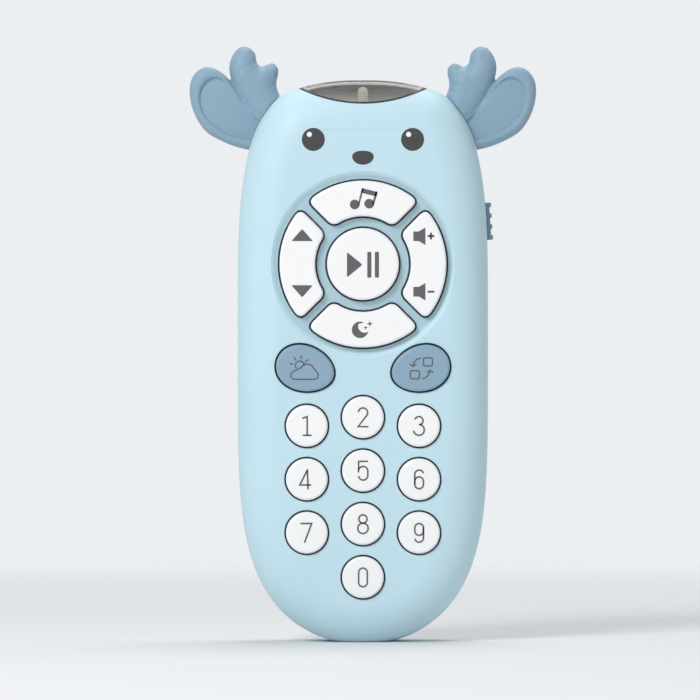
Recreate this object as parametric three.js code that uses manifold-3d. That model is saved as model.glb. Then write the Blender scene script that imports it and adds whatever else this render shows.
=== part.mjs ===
// A toy cell phone for small children: a rounded two-shell body with a deer's face, soft teether
// ears, a ring of media keys, two function keys, ten digit keys, a lit window in the crown, a
// power slide on the right, and a speaker, a board and three AAA cells inside.
//
// Millimetres. +X is to the right as the face is seen, +Y runs into the phone towards its back, and
// +Z is up. The origin is the middle of the flat foot, on the plane where the two shells meet.
import * as THREE from "three";
import { mergeVertices } from "three/addons/utils/BufferGeometryUtils.js";
import Module from "manifold-3d";

const wasm = await Module();
wasm.setup();

// ---------------------------------------------------------------- driving dimensions

// Body outline: a superellipse above its widest line and a fuller, rounder chin below it.
const BODY_HALF_WIDTH = 35;
const WIDEST_Z = 88.5;
const CROWN_RISE = 68.6;
const CHIN_DROP = 89.3;
const CROWN_POWER = 3.6;
const CHIN_POWER = 5;
const OUTLINE_STEPS = 10;

// Body section: a flat face and back with quarter-ellipse edges.
const FRONT_DEPTH = 13.4;
const REAR_DEPTH = 14.8;
const FRONT_EDGE = { width: 12, depth: 10.6 };
const REAR_EDGE = { width: 11, depth: 10.5 };
const EDGE_STEPS = 3;
const WALL = 2.2;
const SEAM = 0.3;
const GAP = 0.3;
const LIP_HEIGHT = 1.8;
const LIP_WALL = 0.9;

// Keys
const KEY_PROUD = 1.4;
const KEY_CLEARANCE = 0.35;
const KEY_EDGE = 0.55;
const FLANGE = { reach: 0.85, thickness: 0.8 };
const ROOM_SKIP = 0.1;
const STEM_RADIUS = 1.9;
const STEM_LENGTH = 1.0;
const ROCKER_HOLD = 2.2;
const DIGIT_SIDES = 8;
const PLAY_SIDES = 12;
const DIGIT = { radius: 5.8, pitchX: 15.6, pitchZ: 14.85, firstZ: 60.4, middleLift: 2.4 };
const ZERO_Z = 18.3;
const RING = { z: 105.4, inner: 13.3, outer: 23.2, halfGap: 1.5, corner: 2.2, stem: 18.2, rockerAngle: 33 };
const PLAY_RADIUS = 10;
const DISH = { radius: 26.2, floorRadius: 24.1, depth: 0.9 };
const FUNCTION_KEY = { x: 16, z: 76.4, halfWidth: 8.7, halfHeight: 6.95 };

// Rubber keypad and board behind the keys
const DOME = { height: 1.5, baseRadius: 4, topRadius: 2.6 };
const MEMBRANE_THICKNESS = 0.9;
const BOARD = { fromSide: 13.2, bottom: 11, top: 136, corner: 11, thickness: 1.6 };
const BOARD_TONGUE = { halfWidth: 6, underLamp: 3.7 };
const BOARD_SCREW_PLACES = { middleZ: 75.6, footX: 12, overFoot: 6.4, fromSide: 4.2, underTop: 8.6 };
const BOARD_BOSS_RADIUS = 2.2;
const BOARD_SCREW = { shank: 0.85, head: 1.9, headHeight: 1.2, length: 5.4 };

// Case screws, driven from the back
const CASE_SCREW_PLACES = { upper: { fromLip: 5.6, z: 126 }, lower: { fromLip: 4.2, z: 40 } };
const CASE_SCREW = { shank: 1.2, head: 2.4, headHeight: 1.8, seatY: 6.5, tipY: -7 };
const CASE_BOSS_RADIUS = 3;
const REAR_BOSS_RADIUS = 3.6;
const BOSS_ROOT = 0.6;

// Crown window
const WINDOW = { radius: 38.6, height: 7.1, wall: 1.6, band: 2.2, lip: 2.2 };
const REFLECTOR_WALL = 1.1;
const LED = { radius: 1.5, flange: 1.9, y: -3, height: 5.8, underCrown: 7.9, leadLength: 8.8 };

// Soft ears with antlers
const EAR = { thickness: 7, edge: 2 };
const ANTLER = { thickness: 9, edge: 1.6 };
const EAR_ROOT_UNDER_CROWN = 11.8;
const EAR_NECK = { sink: 0.55, angle: 30, width: 9, thickness: 4.6, flangeReach: 2.2, flangeWall: 1.6 };

// Power slide on the right
const SLIDE = { z: 117.5, tilt: 3.5, knobLength: 10.4, knobWidth: 4.6, proud: 1.1, travel: 2 };
const SLIDE_RIBS = { count: 4, height: 0.5, width: 1.3 };

// Speaker and its grille
const SPEAKER = { z: 105.4, radius: 18, rim: 1, depth: 7, magnetRadius: 8.5, magnetDepth: 4 };
const SPEAKER_SEAT = { wall: 1.2, height: 3.6 };
const GRILLE = { holeRadius: 1.1, pitch: 4.4, rings: 2 };

// Battery bay
const CELL = { length: 43.7, radius: 5.25, nubRadius: 1.9, nubLength: 0.8, pitch: 10.9 };
const BAY = { bottom: 20.5, floorY: 1.4, wall: 1.4, side: 0.45 };
const CONTACT = { plate: 0.5, plateHalf: 4.2, springHeight: 4.8, springRadius: 3.2, springTopRadius: 2.2 };
const SPRING_WIRE = { radius: 0.3, turns: 3 };
const DOOR = { margin: 2.4, thickness: 2.2, ledge: 2, clearance: 0.35, corner: 3, tabRadius: 5.2 };
const DOOR_SCREW = { shank: 1.1, head: 2.3, headHeight: 1, length: 7.5, bossRadius: 3.2 };

// ---------------------------------------------------------------- derived places

const FACE_Y = -FRONT_DEPTH;
const FRONT_INNER_Y = FACE_Y + WALL;
const FLANGE_FRONT_Y = FRONT_INNER_Y + GAP;
const FLANGE_BACK_Y = FLANGE_FRONT_Y + FLANGE.thickness;
const STEM_END_Y = FLANGE_BACK_Y + STEM_LENGTH;
const DOME_TOP_Y = STEM_END_Y + GAP;
const MEMBRANE_FRONT_Y = DOME_TOP_Y + DOME.height;
const BOARD_FRONT_Y = MEMBRANE_FRONT_Y + MEMBRANE_THICKNESS + GAP;
const BOARD_BACK_Y = BOARD_FRONT_Y + BOARD.thickness;
const BACK_INNER_Y = REAR_DEPTH - WALL;
const CROWN_TOP_Z = WIDEST_Z + CROWN_RISE;
const WINDOW_BOTTOM_Z = CROWN_TOP_Z - WINDOW.height;
const LED_BASE_Z = CROWN_TOP_Z - LED.underCrown;
const BIG = 400;

// How far out the body's outline is at a height above its widest line.
function outlineX(z) {
  const rise = ((z - WIDEST_Z) / CROWN_RISE) ** (CROWN_POWER / 2);
  return BODY_HALF_WIDTH * Math.cos(Math.asin(rise)) ** (2 / CROWN_POWER);
}

const EAR_ROOT = { x: outlineX(CROWN_TOP_Z - EAR_ROOT_UNDER_CROWN), z: CROWN_TOP_Z - EAR_ROOT_UNDER_CROWN };
const SLIDE_X = outlineX(SLIDE.z);
const LIP_INNER_X = BODY_HALF_WIDTH - WALL - GAP - LIP_WALL;
const CASE_SCREWS = [CASE_SCREW_PLACES.upper, CASE_SCREW_PLACES.lower].flatMap(({ fromLip, z }) => [
  [fromLip - LIP_INNER_X, z], [LIP_INNER_X - fromLip, z],
]);
const BOARD_HALF_WIDTH = BODY_HALF_WIDTH - BOARD.fromSide;
const BOARD_SCREWS = [
  [0, BOARD_SCREW_PLACES.middleZ],
  ...[-1, 1].map((side) => [side * BOARD_SCREW_PLACES.footX, BOARD.bottom + BOARD_SCREW_PLACES.overFoot]),
  ...[-1, 1].map((side) => [
    side * (BOARD_HALF_WIDTH - BOARD_SCREW_PLACES.fromSide), BOARD.top - BOARD_SCREW_PLACES.underTop,
  ]),
];

const rad = THREE.MathUtils.degToRad;

// ---------------------------------------------------------------- solids

// A closed geometry as a solid that can be joined and cut.
function solid(geometry) {
  const bare = geometry.clone();
  for (const name of Object.keys(bare.attributes)) if (name !== "position") bare.deleteAttribute(name);
  const merged = mergeVertices(bare, 1e-4);
  return new wasm.Manifold(new wasm.Mesh({
    numProp: 3,
    vertProperties: new Float32Array(merged.attributes.position.array),
    triVerts: new Uint32Array(merged.index.array),
  }));
}

const join = (...solids) => solids.reduce((a, b) => a.add(b));
const cut = (from, ...solids) => solids.reduce((a, b) => a.subtract(b), from);

// A box between two corners.
function block([x0, y0, z0], [x1, y1, z1]) {
  const box = new THREE.BoxGeometry(x1 - x0, y1 - y0, z1 - z0);
  return solid(box.translate((x0 + x1) / 2, (y0 + y1) / 2, (z0 + z1) / 2));
}

// A round bar along Y.
function rodY(x, z, radius, y0, y1, sides = 16) {
  const rod = new THREE.CylinderGeometry(radius, radius, y1 - y0, sides);
  return solid(rod.translate(x, (y0 + y1) / 2, z));
}

// A shape drawn in X and Z, as a plate from y0 to y1.
function plateY(shape, y0, y1, curveSegments = 5) {
  const plate = new THREE.ExtrudeGeometry(shape, { depth: y1 - y0, bevelEnabled: false, curveSegments });
  return solid(plate.rotateX(Math.PI / 2).translate(0, y1, 0));
}

// The same with its edges rounded front and back.
function softPlateY(shape, y0, y1, edge, steps = 2, curveSegments = 5) {
  const plate = new THREE.ExtrudeGeometry(shape, {
    depth: y1 - y0 - 2 * edge,
    bevelThickness: edge,
    bevelSize: edge,
    bevelOffset: -edge,
    bevelSegments: steps,
    curveSegments,
  });
  return solid(plate.rotateX(Math.PI / 2).translate(0, y1 - edge, 0));
}

// A profile of [radius, y] pairs, listed from its front end to its back end, turned about Y.
function turnedY(profile, sides = 16) {
  const points = profile.map(([r, y]) => new THREE.Vector2(r, y));
  return solid(new THREE.LatheGeometry(points, sides));
}

// A wire or lead along points, with a round section.
function wire(points, radius, steps, sides = 3) {
  const path = new THREE.CatmullRomCurve3(points.map((p) => new THREE.Vector3(...p)));
  return solid(tubeAlong(path, radius, steps, sides));
}

function tubeAlong(path, radius, steps, sides) {
  return new THREE.ExtrudeGeometry(circleShape(radius), { extrudePath: path, steps, curveSegments: sides });
}

// ---------------------------------------------------------------- body form

function bodyOutline() {
  const right = [];
  for (let i = OUTLINE_STEPS; i > 0; i--) {
    const a = (Math.PI / 2) * (i / OUTLINE_STEPS) ** 1.5;
    right.push([BODY_HALF_WIDTH * Math.cos(a), WIDEST_Z - CHIN_DROP * Math.sin(a) ** (2 / CHIN_POWER)]);
  }
  for (let i = 0; i <= OUTLINE_STEPS; i++) {
    const a = (Math.PI / 2) * (i / OUTLINE_STEPS);
    const x = BODY_HALF_WIDTH * Math.cos(a) ** (2 / CROWN_POWER);
    right.push([i === OUTLINE_STEPS ? 0 : x, WIDEST_Z + CROWN_RISE * Math.sin(a) ** (2 / CROWN_POWER)]);
  }
  right[0][0] = 0;
  const left = right.slice(1, -1).reverse().map(([x, z]) => [-x, z]);
  return new THREE.Shape([...right, ...left].map(([x, z]) => new THREE.Vector2(x, z)));
}

const OUTLINE = bodyOutline();

// One half of the body, its skin moved in by inset, mirrored across the seam so that it can be trimmed.
function mirroredHalf(depth, edge, inset) {
  const slab = new THREE.ExtrudeGeometry(OUTLINE, {
    depth: 2 * (depth - edge.depth),
    bevelThickness: edge.depth - inset,
    bevelSize: edge.width - inset,
    bevelOffset: -edge.width,
    bevelSegments: EDGE_STEPS,
  });
  return solid(slab.rotateX(Math.PI / 2).translate(0, depth - edge.depth, 0));
}

const frontForm = (inset) => mirroredHalf(FRONT_DEPTH, FRONT_EDGE, inset);
const rearForm = (inset) => mirroredHalf(REAR_DEPTH, REAR_EDGE, inset);
const before = (y) => block([-BIG, -BIG, -BIG], [BIG, y, BIG]);
const behind = (y) => block([-BIG, y, -BIG], [BIG, BIG, BIG]);
const underFoot = block([-BIG, -BIG, -BIG], [BIG, BIG, 0]);

// The whole body without its seam, its skin moved in by inset.
function bodyForm(inset) {
  return join(frontForm(inset).subtract(behind(0)), rearForm(inset).subtract(before(0)));
}

// ---------------------------------------------------------------- key shapes, drawn in X and Z

const polar = (r, a) => new THREE.Vector2(r * Math.cos(a), r * Math.sin(a));

// A quarter of the key ring, centred on the direction turn and grown by grow all round.
function ringKeyShape(turn, grow) {
  const inner = RING.inner - grow;
  const outer = RING.outer + grow;
  const halfGap = RING.halfGap - grow;
  const corner = RING.corner + grow;
  const quarter = Math.PI / 4;
  // A point beside one end of the key: side is -1 or 1, and along is its distance out on the cut.
  const onCut = (side, along) => {
    const a = turn + side * quarter;
    return polar(along, a).add(polar(halfGap, a - side * (Math.PI / 2)));
  };
  const reach = (r) => Math.sqrt(r * r - halfGap * halfGap);
  const edgeAngle = (r) => quarter - Math.asin(halfGap / r) - corner / r;
  const shape = new THREE.Shape();
  const bend = (via, to) => shape.quadraticCurveTo(via.x, via.y, to.x, to.y);
  const start = polar(outer, turn - edgeAngle(outer));
  shape.moveTo(start.x, start.y);
  shape.absarc(0, 0, outer, turn - edgeAngle(outer), turn + edgeAngle(outer), false);
  bend(onCut(1, reach(outer)), onCut(1, reach(outer) - corner));
  const foot = onCut(1, reach(inner) + corner);
  shape.lineTo(foot.x, foot.y);
  bend(onCut(1, reach(inner)), polar(inner, turn + edgeAngle(inner)));
  shape.absarc(0, 0, inner, turn + edgeAngle(inner), turn - edgeAngle(inner), true);
  bend(onCut(-1, reach(inner)), onCut(-1, reach(inner) + corner));
  const head = onCut(-1, reach(outer) - corner);
  shape.lineTo(head.x, head.y);
  bend(onCut(-1, reach(outer)), start);
  return shape;
}

// An egg lying on its side, blunt end outwards (side -1 is left), tipped so that it leans inwards.
function functionKeyShape(side, grow) {
  const steps = 24;
  const points = [];
  for (let i = 0; i < steps; i++) {
    const a = (i / steps) * Math.PI * 2;
    const along = (FUNCTION_KEY.halfWidth + grow) * Math.cos(a);
    const across = (FUNCTION_KEY.halfHeight + grow) * Math.sin(a) * (1 + 0.1 * Math.cos(a));
    points.push(new THREE.Vector2(side * along, across).rotateAround(new THREE.Vector2(), side * rad(16)));
  }
  return new THREE.Shape(side > 0 ? points : points.reverse());
}

function circleShape(radius) {
  const shape = new THREE.Shape();
  shape.absarc(0, 0, radius, 0, Math.PI * 2, false);
  return shape;
}

// ---------------------------------------------------------------- key solids, each about its own centre

// A cap through the face, a flange that the shell holds back, and one or two stems to the domes. A key
// that rocks is held at its middle only, so that its ends are free to rise.
function key(shapeAt, stems, curveSegments = 4, edgeSteps = 2) {
  const capBack = FLANGE_FRONT_Y + KEY_EDGE;
  const cap = softPlateY(shapeAt(0), FACE_Y - KEY_PROUD, capBack, KEY_EDGE, edgeSteps, curveSegments);
  const rim = plateY(shapeAt(FLANGE.reach), FLANGE_FRONT_Y, FLANGE_BACK_Y, curveSegments);
  const held = stems.length > 1 ? ROCKER_HOLD : BIG;
  const flange = rim.intersect(block([-BIG, -BIG, -held], [BIG, BIG, held]));
  const posts = stems.map(([x, z]) => rodY(x, z, STEM_RADIUS, FLANGE_BACK_Y - 0.4, STEM_END_Y, 8));
  return join(cap, flange, ...posts);
}

const roundKey = (radius, ...detail) => key((grow) => circleShape(radius + grow), [[0, 0]], ...detail);

// Where a ring key's stems stand, about the ring's centre: one behind its middle, or two on a rocker.
function ringStems(turn, rocks) {
  const angles = rocks ? [turn - rad(RING.rockerAngle), turn + rad(RING.rockerAngle)] : [turn];
  return angles.map((a) => polar(RING.stem, a).toArray());
}

const RING_KEYS = [
  { name: "music_key", turn: Math.PI / 2, rocks: false },
  { name: "track_key", turn: Math.PI, rocks: true },
  { name: "night_key", turn: -Math.PI / 2, rocks: false },
  { name: "volume_key", turn: 0, rocks: true },
];
const FUNCTION_KEYS = [{ name: "weather_key", side: -1 }, { name: "swap_key", side: 1 }];

// The ten digits: three staggered rows of three, and the zero below the middle column.
function digitPlaces() {
  const places = [{ digit: 0, x: 0, z: ZERO_Z }];
  for (let i = 0; i < 9; i++) {
    const column = (i % 3) - 1;
    const lift = column === 0 ? DIGIT.middleLift : 0;
    places.push({
      digit: i + 1,
      x: column * DIGIT.pitchX,
      z: DIGIT.firstZ - Math.floor(i / 3) * DIGIT.pitchZ + lift,
    });
  }
  return places;
}

const DIGITS = digitPlaces();

// Every stem's place on the face: these are where the rubber domes stand.
const STEMS = [
  [0, RING.z],
  ...RING_KEYS.flatMap((k) => ringStems(k.turn, k.rocks).map(([x, z]) => [x, z + RING.z])),
  ...FUNCTION_KEYS.map((k) => [k.side * FUNCTION_KEY.x, FUNCTION_KEY.z]),
  ...DIGITS.map((d) => [d.x, d.z]),
];

// ---------------------------------------------------------------- soft ears

// Outer leaf of an ear, from its root at the cheek round to the root under the antler. Its points are
// measured from the ear's root on the body's outline, outwards and up.
const EAR_LEAF = [
  [-2.75, -5.8], [3.15, -7.6], [10.75, -5.3], [16.25, -1.3], [19.25, 4.5], [19.95, 9.7], [17.95, 14],
  [14.25, 15.6], [10.25, 13.6], [4.25, 6.7], [-1.75, -0.3],
];
// The antler: a broad outer prong, the valley, the short inner prong, and its root.
const ANTLER_LEAF = [
  [1.75, 0.2], [6.65, 8.2], [8.65, 14.2], [8.15, 17.9], [6.15, 20.7], [3.65, 21.2], [1.45, 19.3],
  [0.85, 16.5], [-0.55, 15.5], [-2.35, 16.4], [-4.45, 16.3], [-5.15, 14.1], [-4.65, 10.1], [-6.15, 4.7],
  [-4.75, -1.3],
];

function leaf(points, side, spec, samples) {
  const knots = points.map(([out, up]) => new THREE.Vector3(side * (EAR_ROOT.x + out), EAR_ROOT.z + up, 0));
  const curve = new THREE.CatmullRomCurve3(knots, true, "centripetal");
  const outline = curve.getSpacedPoints(samples).slice(0, -1).map((p) => new THREE.Vector2(p.x, p.y));
  const shape = new THREE.Shape(THREE.ShapeUtils.isClockWise(outline) ? outline.reverse() : outline);
  return softPlateY(shape, -spec.thickness / 2, spec.thickness / 2, spec.edge, 2);
}

// A bar through the shell wall at the ear's root, square to the outline there.
function neckBar(side, length, width, thickness) {
  const bar = new THREE.BoxGeometry(length, thickness, width);
  bar.rotateY(-rad(EAR_NECK.angle));
  bar.translate(EAR_ROOT.x - EAR_NECK.sink, 0, EAR_ROOT.z);
  return solid(side < 0 ? bar.rotateZ(Math.PI) : bar);
}

function ear(side) {
  const leaves = join(leaf(EAR_LEAF, side, EAR, 26), leaf(ANTLER_LEAF, side, ANTLER, 34));
  const outside = cut(leaves, bodyForm(-GAP));
  const { width, thickness, flangeReach } = EAR_NECK;
  const throughWall = neckBar(side, 12, width, thickness).intersect(bodyForm(-1));
  const inner = WALL + GAP;
  const room = neckBar(side, 20, width + 2 * flangeReach, thickness + 2 * flangeReach);
  const flange = cut(bodyForm(inner), bodyForm(inner + EAR_NECK.flangeWall)).intersect(room);
  return join(outside, cut(throughWall, bodyForm(inner + EAR_NECK.flangeWall)), flange);
}

// ---------------------------------------------------------------- casing

const bayHalfWidth = CELL.pitch + CELL.radius + BAY.side;
const bayTop = BAY.bottom + CELL.length + CELL.nubLength + CONTACT.plate + CONTACT.springHeight + 4 * GAP;
const doorHalfWidth = bayHalfWidth + DOOR.margin;
const doorBottom = BAY.bottom - DOOR.margin;
const doorTop = bayTop + DOOR.margin;
const doorScrewZ = doorTop + 1;
const doorScrewSeatY = REAR_DEPTH - DOOR_SCREW.headHeight - GAP;

// The battery door's outline, with a round tab at the top for its screw.
function doorShape(grow) {
  const w = doorHalfWidth + grow;
  const r = DOOR.corner + grow;
  const low = doorBottom - grow;
  const high = doorTop + grow;
  const tab = DOOR.tabRadius + grow;
  const rise = high - doorScrewZ;
  const lean = Math.asin(rise / tab);
  const shape = new THREE.Shape();
  shape.moveTo(-w + r, low);
  shape.lineTo(w - r, low);
  shape.absarc(w - r, low + r, r, -Math.PI / 2, 0, false);
  shape.lineTo(w, high - r);
  shape.absarc(w - r, high - r, r, 0, Math.PI / 2, false);
  shape.absarc(0, doorScrewZ, tab, lean, Math.PI - lean, false);
  shape.absarc(-w + r, high - r, r, Math.PI / 2, Math.PI, false);
  shape.lineTo(-w, low + r);
  shape.absarc(-w + r, low + r, r, Math.PI, Math.PI * 1.5, false);
  return shape;
}

// The lens-shaped bite out of the crown that the window fills, widened by grow.
function crownBite(grow) {
  return rodY(0, WINDOW_BOTTOM_Z + WINDOW.radius, WINDOW.radius + grow, -2 * FRONT_DEPTH, 2 * REAR_DEPTH, 72);
}

function slideFrame(piece) {
  return piece.rotate([0, -SLIDE.tilt, 0]).translate([SLIDE_X, 0, SLIDE.z]);
}

// A block in the power slide's own frame: x out of the side, z along its travel, from its middle.
const slideBlock = (low, high) => slideFrame(block(low, high));

// The knob stands through a slot, and its flange runs in a flat pocket inside the wall.
const slideFlange = {
  back: -WALL - GAP - 0.9,
  front: -WALL - GAP,
  half: SLIDE.knobWidth / 2 + 1.2,
  low: -SLIDE.knobLength / 2 - SLIDE.travel - 1.2,
  high: SLIDE.knobLength / 2 + 2.4,
};
const slideSlot = join(
  slideBlock(
    [-6, -SLIDE.knobWidth / 2 - GAP, -SLIDE.knobLength / 2 - SLIDE.travel - GAP],
    [6, SLIDE.knobWidth / 2 + GAP, SLIDE.knobLength / 2 + GAP],
  ),
  slideBlock(
    [slideFlange.back - 2 * GAP, -slideFlange.half - GAP, slideFlange.low - SLIDE.travel - GAP],
    [-WALL, slideFlange.half + GAP, slideFlange.high + GAP],
  ),
);
const earSlots = [-1, 1].map((side) => neckBar(
  side, 14, EAR_NECK.width + 2 * GAP, EAR_NECK.thickness + 2 * GAP,
));

// A key's way through the face, with room behind it for the flange.
function keyWindow(shapeAt, curveSegments = 4) {
  const way = plateY(shapeAt(KEY_CLEARANCE), FACE_Y - 3, FRONT_INNER_Y + 1, curveSegments);
  const roomShape = shapeAt(FLANGE.reach + KEY_CLEARANCE);
  const room = plateY(roomShape, FRONT_INNER_Y + ROOM_SKIP, STEM_END_Y, curveSegments);
  return way.add(room);
}

function frontShell() {
  let shell = cut(frontForm(0), behind(-SEAM / 2), frontForm(WALL), underFoot);
  const bossRootY = FRONT_INNER_Y - BOSS_ROOT;
  const bosses = [
    ...BOARD_SCREWS.map(([x, z]) => rodY(x, z, BOARD_BOSS_RADIUS, bossRootY, BOARD_FRONT_Y - GAP, 12)),
    ...CASE_SCREWS.map(([x, z]) => rodY(x, z, CASE_BOSS_RADIUS, bossRootY, -SEAM / 2, 14)),
  ];
  shell = join(shell, ...bosses.map((b) => b.intersect(frontForm(WALL / 2))));
  const bores = [
    ...BOARD_SCREWS.map(([x, z]) => rodY(x, z, BOARD_SCREW.shank + GAP, FRONT_INNER_Y + 0.4, 0, 8)),
    ...CASE_SCREWS.map(([x, z]) => rodY(x, z, CASE_SCREW.shank + GAP, CASE_SCREW.tipY - GAP, 0, 10)),
  ];
  const dish = turnedY([
    [0, FACE_Y - 2],
    [DISH.radius + 2 * (DISH.radius - DISH.floorRadius) / DISH.depth, FACE_Y - 2],
    [DISH.floorRadius, FACE_Y + DISH.depth],
    [0, FACE_Y + DISH.depth],
  ], 48).translate([0, 0, RING.z]);
  const windows = [
    keyWindow((grow) => circleShape(PLAY_RADIUS + grow), PLAY_SIDES).translate([0, 0, RING.z]),
    ...RING_KEYS.map((k) => keyWindow((grow) => ringKeyShape(k.turn, grow)).translate([0, 0, RING.z])),
    ...FUNCTION_KEYS.map((k) => keyWindow((grow) => functionKeyShape(k.side, grow))
      .translate([k.side * FUNCTION_KEY.x, 0, FUNCTION_KEY.z])),
    ...DIGITS.map((d) => keyWindow((grow) => circleShape(DIGIT.radius + grow), DIGIT_SIDES)
      .translate([d.x, 0, d.z])),
  ];
  return cut(shell, ...bores, dish, ...windows, crownBite(0), slideSlot, ...earSlots);
}

// A thin rib on the rear shell that stands inside the front shell's wall all round the seam.
function seamLip() {
  const inner = WALL + GAP + LIP_WALL;
  const rib = cut(bodyForm(WALL + GAP), bodyForm(inner), before(-LIP_HEIGHT), behind(SEAM));
  const root = cut(bodyForm(WALL - GAP), bodyForm(inner), before(SEAM / 2), behind(1.6));
  const earRoom = [-1, 1].map((side) => neckBar(
    side, 24, EAR_NECK.width + 2 * EAR_NECK.flangeReach + 2 * GAP, 12,
  ));
  const slideRoom = slideBlock([-8, -8, -SLIDE.knobLength / 2 - 6], [2, 8, SLIDE.knobLength / 2 + 4]);
  return cut(join(rib, root), crownBite(WINDOW.lip + 2 * GAP), ...earRoom, slideRoom);
}

function grilleHoles() {
  const places = [[0, SPEAKER.z]];
  for (let ring = 1; ring <= GRILLE.rings; ring++) {
    for (let i = 0; i < 6 * ring; i++) {
      const p = polar(ring * GRILLE.pitch, (i / (6 * ring)) * Math.PI * 2);
      places.push([p.x, p.y + SPEAKER.z]);
    }
  }
  return places.map(([x, z]) => rodY(x, z, GRILLE.holeRadius, BACK_INNER_Y - 1, REAR_DEPTH + 1, 8));
}

function rearShell() {
  let shell = cut(rearForm(0), before(SEAM / 2), rearForm(WALL), underFoot);
  const trayWall = bayHalfWidth + BAY.wall;
  const tray = block(
    [-trayWall, BAY.floorY - BAY.wall, BAY.bottom - BAY.wall], [trayWall, BACK_INNER_Y, bayTop + BAY.wall],
  );
  const ledge = plateY(doorShape(DOOR.ledge), REAR_DEPTH - DOOR.thickness - 2.4, REAR_DEPTH - WALL + 0.2, 3);
  const seatFrontY = BACK_INNER_Y - SPEAKER_SEAT.height;
  const seatRadius = SPEAKER.radius + GAP;
  const seat = cut(
    rodY(0, SPEAKER.z, seatRadius + SPEAKER_SEAT.wall, seatFrontY, BACK_INNER_Y + GAP, 40),
    rodY(0, SPEAKER.z, seatRadius, seatFrontY - 1, BACK_INNER_Y, 40),
  );
  const posts = CASE_SCREWS.map(([x, z]) => rodY(x, z, REAR_BOSS_RADIUS, SEAM / 2, BACK_INNER_Y, 14));
  const doorBossFrontY = BACK_INNER_Y - DOOR_SCREW.length;
  const doorBoss = rodY(0, doorScrewZ, DOOR_SCREW.bossRadius, doorBossFrontY, BACK_INNER_Y, 14);
  const within = rearForm(WALL / 2);
  shell = join(shell, ...[tray, ledge, seat, ...posts, doorBoss].map((s) => s.intersect(within)), seamLip());
  const bay = block([-bayHalfWidth, BAY.floorY, BAY.bottom], [bayHalfWidth, REAR_DEPTH + 1, bayTop]);
  const doorRecess = plateY(doorShape(DOOR.clearance), REAR_DEPTH - DOOR.thickness - GAP, REAR_DEPTH + 2, 3);
  const screwWays = CASE_SCREWS.flatMap(([x, z]) => [
    rodY(x, z, CASE_SCREW.shank + GAP, -1, REAR_DEPTH, 10),
    rodY(x, z, CASE_SCREW.head + GAP, CASE_SCREW.seatY, REAR_DEPTH + 1, 14),
  ]);
  const doorPilot = rodY(0, doorScrewZ, DOOR_SCREW.shank + GAP, doorBossFrontY + 0.8, REAR_DEPTH, 10);
  const ways = [bay, doorRecess, ...screwWays, doorPilot, ...grilleHoles()];
  return cut(shell, ...ways, crownBite(0), slideSlot, ...earSlots);
}

function batteryDoor() {
  const panel = plateY(doorShape(0), REAR_DEPTH - DOOR.thickness, REAR_DEPTH + 2, 3).intersect(rearForm(0));
  const thumbGroove = [0, 1, 2].map((i) => block(
    [-6, REAR_DEPTH - 0.6, doorBottom + 6 + 2.4 * i], [6, REAR_DEPTH + 1, doorBottom + 7 + 2.4 * i],
  ));
  const screwWay = rodY(0, doorScrewZ, DOOR_SCREW.shank + GAP, 0, BIG, 10);
  const headWay = rodY(0, doorScrewZ, DOOR_SCREW.head + GAP, doorScrewSeatY - GAP, BIG, 16);
  return cut(panel, ...thumbGroove, screwWay, headWay);
}

// A pan-head screw about its own axis: head towards +Y, seat at y = 0, with a cross recess.
function screw(spec, length) {
  const body = turnedY([
    [0, -length], [spec.shank * 0.4, -length], [spec.shank, -length + spec.shank], [spec.shank, 0],
    [spec.head, 0], [spec.head, spec.headHeight * 0.6], [spec.head * 0.8, spec.headHeight], [0, spec.headHeight],
  ], 8);
  const slotDepth = spec.headHeight * 0.55;
  const arm = spec.head * 0.55;
  const blade = spec.head * 0.14;
  const top = spec.headHeight;
  return cut(
    body,
    block([-arm, top - slotDepth, -blade], [arm, top + 1, blade]),
    block([-blade, top - slotDepth, -arm], [blade, top + 1, arm]),
  );
}

// ---------------------------------------------------------------- crown window and its light

function windowLens() {
  const skin = cut(bodyForm(0), bodyForm(WINDOW.wall)).intersect(crownBite(-GAP));
  const lipOuter = WALL + GAP;
  const lipInner = lipOuter + LIP_WALL;
  const band = cut(bodyForm(0), bodyForm(lipInner)).intersect(cut(crownBite(-GAP), crownBite(-WINDOW.band)));
  const lip = cut(bodyForm(lipOuter), bodyForm(lipInner))
    .intersect(cut(crownBite(WINDOW.lip), crownBite(-WINDOW.band)));
  return join(skin, band, lip);
}

// A curved tray under the window that throws the light outwards, with a hole for the bulb.
function reflector() {
  const inner = WALL + 2 * GAP + LIP_WALL;
  const tray = cut(bodyForm(inner).intersect(crownBite(REFLECTOR_WALL)), crownBite(0));
  const hole = new THREE.CylinderGeometry(LED.flange + GAP, LED.flange + GAP, 12, 16);
  hole.rotateX(Math.PI / 2).translate(0, LED.y, WINDOW_BOTTOM_Z);
  return cut(tray, solid(hole));
}

// A 3 mm lamp about its own axis, standing on +Y, with two leads; it is turned upright when placed.
function led() {
  const profile = [[0, 0], [LED.flange, 0], [LED.flange, 1], [LED.radius, 1]];
  for (let i = 0; i <= 3; i++) {
    const a = (i / 3) * (Math.PI / 2);
    const r = i === 3 ? 0 : LED.radius * Math.cos(a);
    profile.push([r, LED.height - LED.radius + LED.radius * Math.sin(a)]);
  }
  const bulb = turnedY(profile, 14);
  const leads = [-1, 1].map((side) => block(
    [side * 1.27 - 0.25, -LED.leadLength, 0.55], [side * 1.27 + 0.25, 0.5, 1.05],
  ));
  return join(bulb, ...leads);
}

// ---------------------------------------------------------------- power slide

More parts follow.
